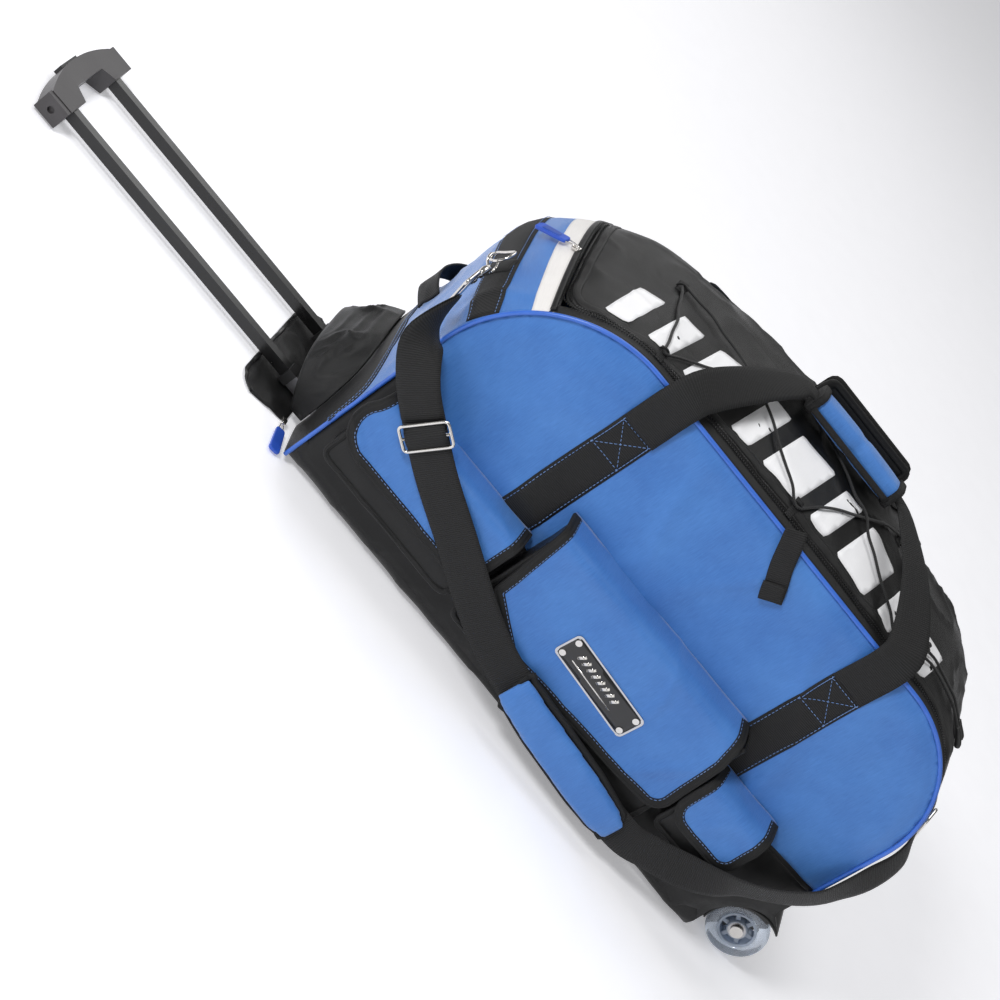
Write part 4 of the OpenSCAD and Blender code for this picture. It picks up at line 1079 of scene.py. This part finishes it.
HAUL_X, HAUL_LOW, HAUL_TOP = (38, 410), (172, 166), 363
runs = {"near": [], "far": []}
for tag, side in (("near", near_side), ("far", far_side)):
    for x, low in zip(HAUL_X, HAUL_LOW):
        line = np.array([[x, z] for z in np.arange(low, HAUL_TOP + 1, 7)])
        piece = tape(f"haul_webbing_{tag}_{'front' if x < 200 else 'rear'}", side, line, WEB_W, 1.7, web,
                     lift=0.2)
        if tag == "near" and x < 200:
            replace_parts(piece, "haul_webbing")
        for edge in (-21.5, 21.5):
            runs[tag].append((side, [[x + edge, low + 4], [x + edge, HAUL_TOP - 4]], 2.1, False))
        box = [[x - 21.5, 313], [x + 21.5, 313], [x + 21.5, 358], [x - 21.5, 358]]
        runs[tag].append((side, box, 2.1, True))
        runs[tag].append((side, [box[0], box[2]], 2.2, False))
        runs[tag].append((side, [box[1], box[3]], 2.2, False))

# ---- side tab, crest band, grab handle, end tab ----

tab_route = [[226, -178.5, 431, 0, -0.7, 0.7], [234, -182.5, 419, 0, -1, 0.2], [250, -183, 393, 0, -1, 0],
             [266, -183.4, 372, 0, -1, 0], [276, -183.6, 357, 0, -1, 0]]
ribbon("side_tab_webbing", tab_route, 26.5, 1.6, web, step=3)
tab_end = [[275, -185.4, 357, 0, -1, 0], [268, -185.6, 366, 0, -1, 0], [262, -185.4, 375, 0, -1, 0]]
ribbon("side_tab_turn", tab_end, 26.5, 1.5, web, step=3)


def crest_line(end_y):
    """the middle of the band that crosses the crest"""
    return curve([[277, -end_y], [284, -90], [286, 0], [284, 90], [277, end_y]], 6)


band = tape("crest_band", top, crest_line(174), 40, 1.6, web, lift=0.4)
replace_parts(band, "ring_webbing")
tape("crest_band_loop", top, curve([[300, -92], [282, -86], [266, -80]], 3), 24, 1.8, web, lift=2.2)
end_tab_route = [[601, -56, 334, 0.8, -0.2, 0.6], [613, -62, 321, 0.8, -0.2, 0.6],
                 [625, -71, 311, 0.9, -0.3, 0.4], [633, -83, 298, 0.9, -0.3, 0.4]]
ribbon("end_ring_tab", end_tab_route, 40, 2, web, step=3)


def grab_place(y, s):
    """the grab handle, bowed away from the end panel"""
    bow = 2.4 + 15 * (1 - ((y - 52) / 60) ** 2)
    return top.at(np.stack([np.ravel(s), np.ravel(y)], 1), np.ravel(bow)).reshape(np.shape(y) + (3,))


grab = grid_piece("grab_handle_webbing", grab_place, np.linspace(-8, 112, 30), np.linspace(146, 178, 9),
                  2.2, web, outward=-1)
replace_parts(grab, "grab_handle")

# ---- pockets ----

POCKET_Y, FRONT_Y, FLAP_Y = 178.3, 212.3, 215.3


def pocket(tag, x0, x1, z0, z1, r, front=FRONT_Y, sign=-1, loose=1.0):
    """open-topped pocket: a front, a gusset wall down its two sides and along its foot, and bound edges"""

    def face_place(x, z):
        depth = front - 2.6 + loose * 1.3 * ripple(x, z, 60, 3.3)
        return np.stack([x, sign * (depth + loose * 1.4 * creases(x, z, 80, 5.2)), z], -1)

    face = Surface(face_place, -sign)
    outline = rounded([[x0, z1], [x0, z0], [x1, z0], [x1, z1]], [0, r, r, 0])
    cloth_piece(f"{tag}_front", face, outline, 7, 1.8, black, lift=-1.8)
    wall = resample(outline, 7)
    ahead = unit(np.gradient(wall, axis=0))
    out = np.stack([ahead[:, 1], -ahead[:, 0]], 1) * (1 if outline[1, 1] < outline[0, 1] else -1)
    along = np.arange(len(wall), dtype=float)

    def place(i, d):
        x, z = np.interp(i, along, wall[:, 0]), np.interp(i, along, wall[:, 1])
        ox, oz = np.interp(i, along, out[:, 0]), np.interp(i, along, out[:, 1])
        bulge = np.sin(math.pi * np.clip(d / (front - POCKET_Y), 0, 1))
        puff = loose * 1.8 * bulge * (0.2 + 0.5 * ripple(i * 7, d, 40, 6.1))
        return np.stack([x - ox * puff, sign * (POCKET_Y - 1 + d), z - oz * puff], -1)

    gusset = grid_piece(f"{tag}_gusset", place, along, np.linspace(0, front - POCKET_Y, 8), 1.8, black,
                        outward=-sign, uv_scale=(7, 1))
    tape(f"{tag}_edge", face, resample(inset(outline, 1.5, False), 5), 7, 1.8, binding, lift=-0.4)
    hem = [[x, z1 - 5] for x in np.arange(x0 + 2, x1 - 1, 7)]
    tape(f"{tag}_hem", face, hem, 9, 0.9, binding)
    return gusset


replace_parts(pocket("front_pocket_bag", -150, 62, 62, 174, 14), "front_pocket")
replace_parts(pocket("middle_pocket_bag", 80, 400, 56, 232, 14), "middle_pocket")
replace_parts(pocket("rear_pocket_bag", 416, 512, 84, 177, 12), "rear_pocket")
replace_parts(pocket("far_pocket_bag", -100, 470, 60, 250, 30, 216.5, 1, 0.8), "far_pocket")


def flap(which, z_top, outline, quiet=(0, 0, 0, 0)):
    """pocket flap: laid out flat, folded over the pocket's mouth, bound and stitched; flat where quiet"""
    tag, body = f"{which}_flap", f"{which}_cover"
    profile = curve([[-FLAP_Y, 40], [-FLAP_Y, 90], [-FLAP_Y, z_top - 22], [-FLAP_Y + 0.6, z_top - 9],
                     [-210.5, z_top - 1.2], [-202, z_top + 2.6], [-178.8, z_top + 7.4]], 1.5)
    t = 40 + lengths(profile)

    def place(x, q):
        y, z = np.interp(q, t, profile[:, 0]), np.interp(q, t, profile[:, 1])
        calm = window(x, quiet[0], quiet[1], 20) * window(q, quiet[2], quiet[3], 16)
        wave = 1.6 * ripple(x, q, 70, z_top) + 2.2 * creases(x + 0.3 * q, q, 95, z_top + 1.5)
        wave = (1 - calm) * np.maximum(-1, wave)
        down = np.clip((t[-1] - q) / 60, 0, 1)
        return np.stack([x, y - down * wave, z + (1 - down) * 0.6 * wave], -1)

    surface = Surface(place)
    outline = np.array([[x, t[-1] - 1.5 if z > z_top else z] for x, z in outline])
    cloth = cloth_piece(f"{tag}_cloth", surface, outline, 5, 1.8, blue, body, lift=-1.8)
    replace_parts(cloth, tag)
    loop = resample(outline, 4, True)
    open_edge = loop[loop[:, 1] < t[-1] - 4]
    steps = np.diff(np.vstack([open_edge, open_edge[:1]]), axis=0)
    open_edge = np.roll(open_edge, -int(np.argmax(np.linalg.norm(steps, axis=1))) - 1, 0)
    ahead = np.roll(loop, -1, 0)
    turn = 1 if np.sum(loop[:, 0] * ahead[:, 1] - ahead[:, 0] * loop[:, 1]) > 0 else -1
    tape(f"{tag}_binding", surface, inset(open_edge, 5.0 * turn, False), 11.4, 1.2, binding, body, lift=0.1)
    tape(f"{tag}_edge", surface, inset(open_edge, 0.2 * turn, False), 4.6, 3.6, binding, body, lift=-2.2)
    stitches(f"{tag}_stitching", [(surface, inset(open_edge, 9.2 * turn, False), 1.3, False)], body)


front_outline = [[66, 200], [-148, 200]] + outline_arc(-118, 138, 45, 150, 270, 9) + [[66, 92]]
middle_outline = ([[74, 260], [88, 122], [160, 82], [356, 92]] + outline_arc(384, 118, 24, -75, 10)
                  + [[402, 200], [384, 260]])
rear_outline = ([[411, 210]] + outline_arc(440, 138, 29, 180, 270) + outline_arc(492, 131, 22, -90, 0)
                + [[513, 160], [508, 210]])
flap("front", 178, front_outline)
flap("middle", 236, middle_outline, (172, 320, 116, 176))
flap("rear", 182, rear_outline)

# name plate: bright rim, dark face and plain raised bars in place of the lettering
PLATE_AT, PLATE_TILT = (246, 146), -4
plate_face = Surface(lambda x, z: np.stack([x, -216.75 + 0 * x, z], -1))
dark_face = turned(box_outline(123, 34.4, 5.5), PLATE_AT, PLATE_TILT)
cloth_piece("name_plate_face", plate_face, dark_face, 5, 0.4, plate_black, "middle_cover", lift=-0.1)
plate_lines = [([[x - 3.4, -1.5], [x + 1.8, 8.5]], 4.2, 0.35) for x in (-38, -29, -20, -11, -2, 7, 16, 25)]
plate_lines.append(([[-42, -8], [30, -8]], 1.8, 0.3))
plate_parts = [tape_mesh(plate_face, turned(line, PLATE_AT, PLATE_TILT), width, thick, 0.25)
               for line, width, thick in plate_lines]
add_parts("name_plate_bars", plate_parts, nickel, "middle_cover", as_cloth=True)

# ---- handle garage at the handle end ----


def hood_place(a, f):
    """hood over the tubes: a runs round its mouth in degrees, f from the end panel to its rim"""
    a = np.radians(a)
    c, b = squared(np.cos(a), 0.6), np.maximum(np.sin(a), 0) ** 0.6
    y0, z0 = -114 * c, 5.5 + 118 * b
    x0 = BACK_X - crown(z0 - BASE_Z) * (1 - (y0 / HALF) ** 2) - 1
    x1, y1, z1 = -190 - 44 * b, -4 - 100 * c, 5.5 + 62 * b
    swell = np.sin(math.pi * f) * np.sin(a)
    folds = 2.6 * ripple(a * 70, f * 60, 22, 4.1) + 5.0 * creases(a * 90, f * 70, 40, 2.9)
    folds = folds + 2.6 * creases(a * 60 + f * 50, f * 60, 26, 7.9)
    push = 3 * swell + swell * folds
    x, y, z = x0 + (x1 - x0) * f, y0 + (y1 - y0) * f, z0 + (z1 - z0) * f
    return np.stack([x - 0.6 * push, y * (1 + 0.25 * push / 110), z + 0.75 * push * np.sin(a)], -1)


hood = grid_piece("garage_hood", hood_place, np.linspace(1, 179, 110), np.linspace(0, 1, 26), 2.2, black,
                  outward=-1, uv_scale=(2.4, 90))
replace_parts(hood, "handle_garage")
hood_edge = Surface(hood_place, -1)
tape("garage_hood_hem", hood_edge, np.stack([np.linspace(3, 177, 60), np.full(60, 0.93)], 1), 0.12, 1.4,
     teeth_black, "bag", lift=0.1)
hood_rim = hood_place(np.linspace(2, 178, 80), np.full(80, 1.0))
round_cord("garage_hood_zip", hood_rim, 1.9, teeth_black, "bag", 8, up=(1, 0, 0))


def garage_place(x, y):
    """the mouth's lower flap, lying in folds that stay under the tubes"""
    free = np.clip((-192 - x) / 30, 0, 1)
    fold = 3.2 * creases(x + 0.6 * y, y, 55, 6.2) + 2.0 * np.maximum(0, ripple(x, y, 34, 2.7))
    return np.stack([x, y, 0.2 + free * fold], -1)


ground = Surface(garage_place)
garage_outline = np.array([[-188, -120], [-188, 112]] + outline_arc(-226, 76, 34, 90, 180, 8)
                          + outline_arc(-228, -102, 34, 180, 250, 8))
garage = cloth_piece("garage_flap_cloth", ground, garage_outline, 6, 1.4, black, "garage_cover", lift=0)
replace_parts(garage, "garage_flap")
tape("garage_flap_zip", ground, resample(garage_outline[1:], 5), 5, 0.9, teeth_black, "garage_cover",
     lift=1.3)

# ---- carrying handles ----

LOOP_W, LOOP_T = [50, 50, 48, 42, 34, 26, 24, 24], [2, 2, 2, 3, 4, 6, 6, 6]
LOOP_FACE = [[0, -1, 0.01], [0, -1, 0.1], [0, -0.75, 0.65], [0, -0.35, 0.93], [0, -0.1, 1], [0, 0, 1],
             [0, 0, 1], [0, 0, 1]]


def loop_route(m, far=False):
    """half of a carrying handle, from a side panel to the middle of the grip: its front half or its rear"""
    y = -44
    points = [[(38, 410)[m], -183, 360], [(38, 410)[m], -185, 426], [(48, 400)[m], -169, 452],
              [(84, 366)[m], -116, 478], [(118, 326)[m], y - 22, 491], [(138, 302)[m], y, 494],
              [(190, 250)[m], y, 494], [219.8, y, 494]]
    if far:
        over = [(183, 360), (181, 388), (162, 404), (112, 430), (54, 455), (14, 468), (-8, 486), (-10, 492)]
        points = [[p[0], y, z] for p, (y, z) in zip(points, over)]
    face = [[0, -f[1], f[2]] if far else f for f in LOOP_FACE]
    return [p + f + [w, t] for p, f, w, t in zip(points, face, LOOP_W, LOOP_T)]


handles = []
for tag, far in (("near", False), ("far", True)):
    route = curve(np.array(loop_route(0, far) + loop_route(1, far)[-2::-1]), 6)
    points, faces, uv = ribbon_mesh(route[:, :3], unit(route[:, 3:6]), route[:, 6], route[:, 7] * 0.8,
                                    bow=0.8)
    if far:
        points[:, 2] -= 0.2
    piece = add_mesh(f"{tag}_handle_webbing", points, faces, web, f"{tag}_handle", uv)
    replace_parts(piece, f"{tag}_grip_loop")
    handles.append((piece, tag))

WRAPS = {"near": (-44, 494, 18.0, 15.6, 0.55, blue), "far": (-10, 496, 7.0, 21.0, 0.6, black)}
for tag, (y0, z0, half_w, half_h, power, cover) in WRAPS.items():
    stations = np.concatenate([np.linspace(147, 157, 12), np.linspace(160, 280, 34),
                               np.linspace(283, 293, 12)])
    rings = []
    for x in stations:
        u = (x - 220) / 73
        if tag == "near":
            swell = 1 - 0.10 * abs(u) ** 6 - 0.10 * math.exp(-(u / 0.10) ** 2)
            sides, tall = half_w * swell, half_h * swell
        else:
            corner = np.clip((abs(x - 220) - 60) / 13, 0, 1)
            sides = half_w * (1 - 0.4 * corner ** 4)
            tall = half_h - 13 * (1 - math.sqrt(1 - min(corner, 0.995) ** 2))
        wy = squared(np.cos(circle(36)), power) * (sides - 1.8)
        wz = squared(np.sin(circle(36)), power) * (tall - 1.8)
        rings.append(np.stack([np.full(36, x), y0 + wy, z0 + wz], 1))
    wrap = add_mesh(f"{tag}_handle_wrap", *rings_mesh(rings), cover, f"{tag}_handle")
    simulated(wrap, pressure=3.0, cap=2.0, voxel=3.0)
    finish_pad(wrap, lambda p: np.stack([p[:, 0], p[:, 1] + p[:, 2]], 1))
    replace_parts(wrap, f"{tag}_grip_wrap")
    handles.append((wrap, tag))
y0, z0, half_w, half_h, power, _ = WRAPS["near"]
angle = circle(44)
ring = np.stack([squared(np.cos(angle), power) * (half_w + 0.1),
                 squared(np.sin(angle), power) * (half_h + 0.1)], 1)
for end, x in (("front", 151), ("rear", 289)):
    band = [np.stack([np.full(44, x + dx), y0 + ring[:, 0] * k, z0 + ring[:, 1] * k], 1)
            for dx, k in ((-4.5, 0.93), (-4, 1.0), (0, 1.02), (4, 1.0), (4.5, 0.93))]
    points, faces = rings_mesh(band)
    uv = np.stack([np.repeat([-4.5, -4, 0, 4, 4.5], 44), np.tile(angle * 16, 5)], 1)
    band_piece = add_mesh(f"near_wrap_binding_{end}", points, faces, binding, "near_handle", uv)
    handles.append((band_piece, "near"))
seam_face = Surface(lambda x, z: np.stack([x, y0 - half_w - 0.4 + 0 * x, z], -1))
seam_line = [[x, 489.0] for x in np.linspace(153, 287, 24)]
wrap_seam = tape("near_wrap_seam", seam_face, seam_line, 8, 0.9, binding, "near_handle", lift=-0.3)
handles.append((wrap_seam, "near"))
far_y, far_z, far_w, far_h = WRAPS["far"][:4]
far_edge = box_outline(145, 2 * far_h, 13, 9) + [220, far_z]
far_edge = resample(inset(far_edge, 4.2), 4, True)
for tag, side in (("near", -1), ("far", 1)):
    face_y = far_y + side * (far_w - 0.6)
    far_face = Surface(lambda x, z, face_y=face_y: np.stack([x, face_y + 0 * x, z], -1), -side)
    handles.append((tape(f"far_wrap_binding_{tag}", far_face, far_edge, 9, 1.1, binding, "far_handle",
                         closed=True), "far"))
for piece, tag in handles:
    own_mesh(piece)

# ---- stitching on the shell ----

for tag in ("near", "far"):
    stitches(f"haul_stitching_{tag}", runs[tag])
crest_runs = [(crest_line(172), by, 2.2) for by in (-16, 16)] + [(end_seam, by, 1.3) for by in (3.6, -3.6)]
stitches("crest_stitching", [(top, resample(inset(line, by, False), 5), lift, False)
                             for line, by, lift in crest_runs])

# ---- zip sliders and their rubber pulls ----

MAIN_AT = top.at([[S_LID - 9, -0.3 * HALF]], 3)[0]
MAIN_U = unit([-0.68, 0.48, -0.54])
MAIN_W = unit(np.cross([-0.74, 0, 0.67], MAIN_U))
GARAGE_AT = np.array([-190, -128, 6.0])
GARAGE_U, GARAGE_W = unit([0.2, -0.98, 0]), unit([-0.98, -0.2, 0])


def local_face(o, u, w):
    n = np.cross(u, w)
    return Surface(lambda a, b: o + np.multiply.outer(a, u) + np.multiply.outer(b, w), 1), n


def bevelled(piece, width=0.6, segments=3):
    bevel = piece.modifiers.new("bevel", "BEVEL")
    bevel.width, bevel.segments, bevel.limit_method = width * MM, segments, "ANGLE"
    return piece


SLIDER = rounded([[-6, -4.2], [6, -2.6], [6, 2.6], [-6, 4.2]], [2.5, 1.5, 1.5, 2.5])
BRIDGE = ((-4.5, 1.2), (-3, 3.6), (0, 4.4), (3, 3.6), (4.5, 1.2))
PULL = rounded([[15, -6], [58, -7.5], [60, -5], [60, 5], [58, 7.5], [15, 6]], [3, 1, 2, 2, 1, 3])
PULL_PANEL = rounded([[26, -3.4], [51, -4.2], [51, 4.2], [26, 3.4]], [1.5] * 4)
PULL_WIRE = ((3.2, 0), (4.6, 1.9), (9, 2.4), (16, 3.2), (18, 0), (16, -3.2), (9, -2.4), (4.6, -1.9))
for tag, o, u, w, hang in (("main", MAIN_AT, MAIN_U, MAIN_W, (-1, 0, 3)),
                           ("garage", GARAGE_AT, GARAGE_U, GARAGE_W, (0, 0, -1))):
    body = f"{tag}_pull"
    surface, n = local_face(o, u, w)
    slider = bevelled(cloth_piece(f"{tag}_zip_slider", surface, SLIDER, 2, 3.2, nickel, lift=-1.6), 0.5)
    if tag == "main":
        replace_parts(slider, "zip_sliders")
    bridge = curve([o + u * a + n * h for a, h in BRIDGE], 1)
    round_cord(f"{tag}_zip_bridge", bridge, 0.8, nickel, "bag", 8, up=w)
    at = o + np.array(hang) + n * 0.5
    pull_face, _ = local_face(at, u, w)
    pull = bevelled(cloth_piece(f"{tag}_pull_rubber", pull_face, PULL, 2.5, 3.8, rubber_blue, body,
                                lift=-1.9), 0.8)
    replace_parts(pull, f"{tag}_zip_pull")
    cloth_piece(f"{tag}_pull_panel", pull_face, PULL_PANEL, 2.5, 0.5, label_blue, body, lift=1.8)
    wire = curve([at + u * a + w * b for a, b in PULL_WIRE], 1, True)
    round_cord(f"{tag}_pull_wire", wire, 0.75, nickel, body, 8, True, up=n)

# ---- cord lock ----

lock_at = top.at([[928, -0.65 * HALF]], 9)[0]
BARREL = ((-7.6, 2.6), (-6.4, 5.2), (-4, 7.0), (-1, 7.9), (1.4, 7.7), (2.6, 7.0), (3.0, 6.0), (3.0, 4.4))
PLUNGER = ((0.4, 3.7), (6.4, 3.8), (7.4, 3.4), (8.0, 2.4))


def lock_part(name, node_name, body, profile, sides):
    """a round part of the cord lock from its (height, radius)"""
    angle = circle(sides)
    rings = [lock_at + np.stack([r * np.cos(angle), r * np.sin(angle), np.full(sides, z)], 1)
             for z, r in profile]
    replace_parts(add_mesh(name, *rings_mesh(rings), plastic, body), node_name)


lock_part("cord_lock_barrel", "cord_lock", "lid", BARREL, 32)
lock_part("cord_lock_button", "cord_lock_plunger", "lock_button", PLUNGER, 28)

# ---- wheel housings: a bearing plate inside each wheel and a short fender over it ----

for tag, sign in (("near", -1), ("far", 1)):
    plate_side = Surface(lambda x, z, sign=sign: np.stack([x, sign * 113 + 0 * x, z], -1), -sign)
    plate = rounded([[566, 14], [600, 8], [632, 14], [640, 60], [632, 96], [566, 96]], [5] * 6)
    housing = cloth_piece(f"wheel_housing_{tag}", plate_side, plate, 9, 16.5, plastic, lift=-16.5)
    if tag == "near":
        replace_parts(housing, "wheel_housings")
    trough(f"wheel_fender_{tag}", (AXLE[0], AXLE[2]), 48.5, np.linspace(84, 158, 22),
           sign * np.linspace(112, 157, 8), 4.4, sign)

# ---- wheels ----

TREAD = [(24.3, 120), (31, 119), (33.5, 118.2), (36.2, 118.9), (38.2, 121.2), (39, 124), (39, 136),
         (38.2, 138.8), (36.2, 141.1), (33.5, 141.8), (31, 141), (24.3, 140)]
HUB_RIM = [(20.6, 120), (24, 119.4), (24, 140.6), (20.6, 140)]
HUB_CORE = [(8.8, 119.2), (12.4, 119.2), (13, 121), (13, 139), (12.4, 140.8), (8.8, 140.8)]


def round_axle(profile, sign, sides=96):
    """a ring round the axle from its (radius, distance from the bag's centre line)"""
    angle = circle(sides)
    rings = [AXLE + np.stack([r * np.cos(angle), np.full(sides, sign * y), r * np.sin(angle)], 1)
             for r, y in profile]
    return rings_mesh(rings, True)


for tag, sign in (("near", -1), ("far", 1)):
    tyre = add_mesh(f"wheel_tread_{tag}", *round_axle(TREAD, sign), clear, f"{tag}_wheel")
    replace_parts(tyre, f"tyre_{tag}")
    hub_parts = [(*round_axle(HUB_RIM, sign), None), (*round_axle(HUB_CORE, sign, 64), None)]
    for k in range(6):
        a = k * math.pi / 3 + 0.3
        ahead, across = np.array([math.cos(a), 0, math.sin(a)]), np.array([-math.sin(a), 0, math.cos(a)])
        spoke = [AXLE + ahead * r + across * half + np.array([0, sign * y, 0])
                 for y in (124, 137) for r, half in ((12, -3.2), (21.5, -2.2), (21.5, 2.2), (12, 3.2))]
        hub_parts.append((np.array(spoke), BOX_FACES, None))
    hub = add_parts(f"wheel_hub_{tag}", hub_parts, clear_hub, f"{tag}_wheel")
    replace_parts(hub, f"hub_{tag}")
    bevelled(hub, 0.5)

# ---- rigid CAD parts: finishes and softened edges ----

FINISH = {"base_board": (board, 0.8), "skid_rails": (plastic, 1.2), "outer_tubes": (steel, 0.5),
          "tube_brackets": (plastic, 0.8), "wheel_axles": (nickel, 0.5), "wheel_bearings": (steel, 0.3),
          "inner_tubes": (tube_black, 1.2), "grip": (grip_grey, 6.0), "grip_caps": (grip_grey, 2.5),
          "lock_pins": (steel, 0.3), "release_button": (plastic, 1.5), "push_rods": (steel, 0.2),
          "button_springs": (steel, 0.2), "name_plate": (plate_rim, 0.25), "plate_rivets": (nickel, 0.7)}
for name, (finish, width) in FINISH.items():
    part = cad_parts[name]
    part.data.materials.clear()
    part.data.materials.append(finish)
    bevelled(part, width, 4 if width > 1 else 3)
    shade_smooth(part.data)

# ---- floor and light ----

floor_mesh = bpy.data.meshes.new("floor")
floor_mesh.from_pydata([(-6, -6, -0.001), (6, -6, -0.001), (6, 6, -0.001), (-6, 6, -0.001)], [],
                       [(0, 1, 2, 3)])
floor = bpy.data.objects.new("floor", floor_mesh)
scene.collection.objects.link(floor)
floor_mesh.materials.append(moulded("floor_white", "none", grey(0.92), grey(0.94), 0.7, grain=40, depth=0.0,
                                    Emission_Color=grey(1.0), Emission_Strength=0.3))


def area_light(name, at, size, power, aim=(0.05, 0, 0.2), tint=(1, 1, 1)):
    light = bpy.data.lights.new(name, "AREA")
    light.shape, light.size, light.energy, light.color = "DISK", size, power, tint
    holder = bpy.data.objects.new(name, light)
    scene.collection.objects.link(holder)
    back = (Vector(at) - Vector(aim)).normalized()
    holder.matrix_world = Matrix.Translation(Vector(at)) @ back.to_track_quat("Z", "Y").to_matrix().to_4x4()


area_light("key", (-2.2, -2.2, 2.5), 1.0, 84)
area_light("fill", (2.4, -2.0, 1.4), 2.2, 12)
area_light("sky", (-0.3, 0.5, 3.4), 2.0, 34)
area_light("rim", (-0.9, 2.8, 2.0), 2.0, 16)
world = bpy.data.worlds.new("studio")
scene.world = world
world.use_nodes = True
world.node_tree.nodes["Background"].inputs["Color"].default_value = (1, 1, 1, 1)
world.node_tree.nodes["Background"].inputs["Strength"].default_value = 0.22
scene.view_settings.view_transform = "Standard"
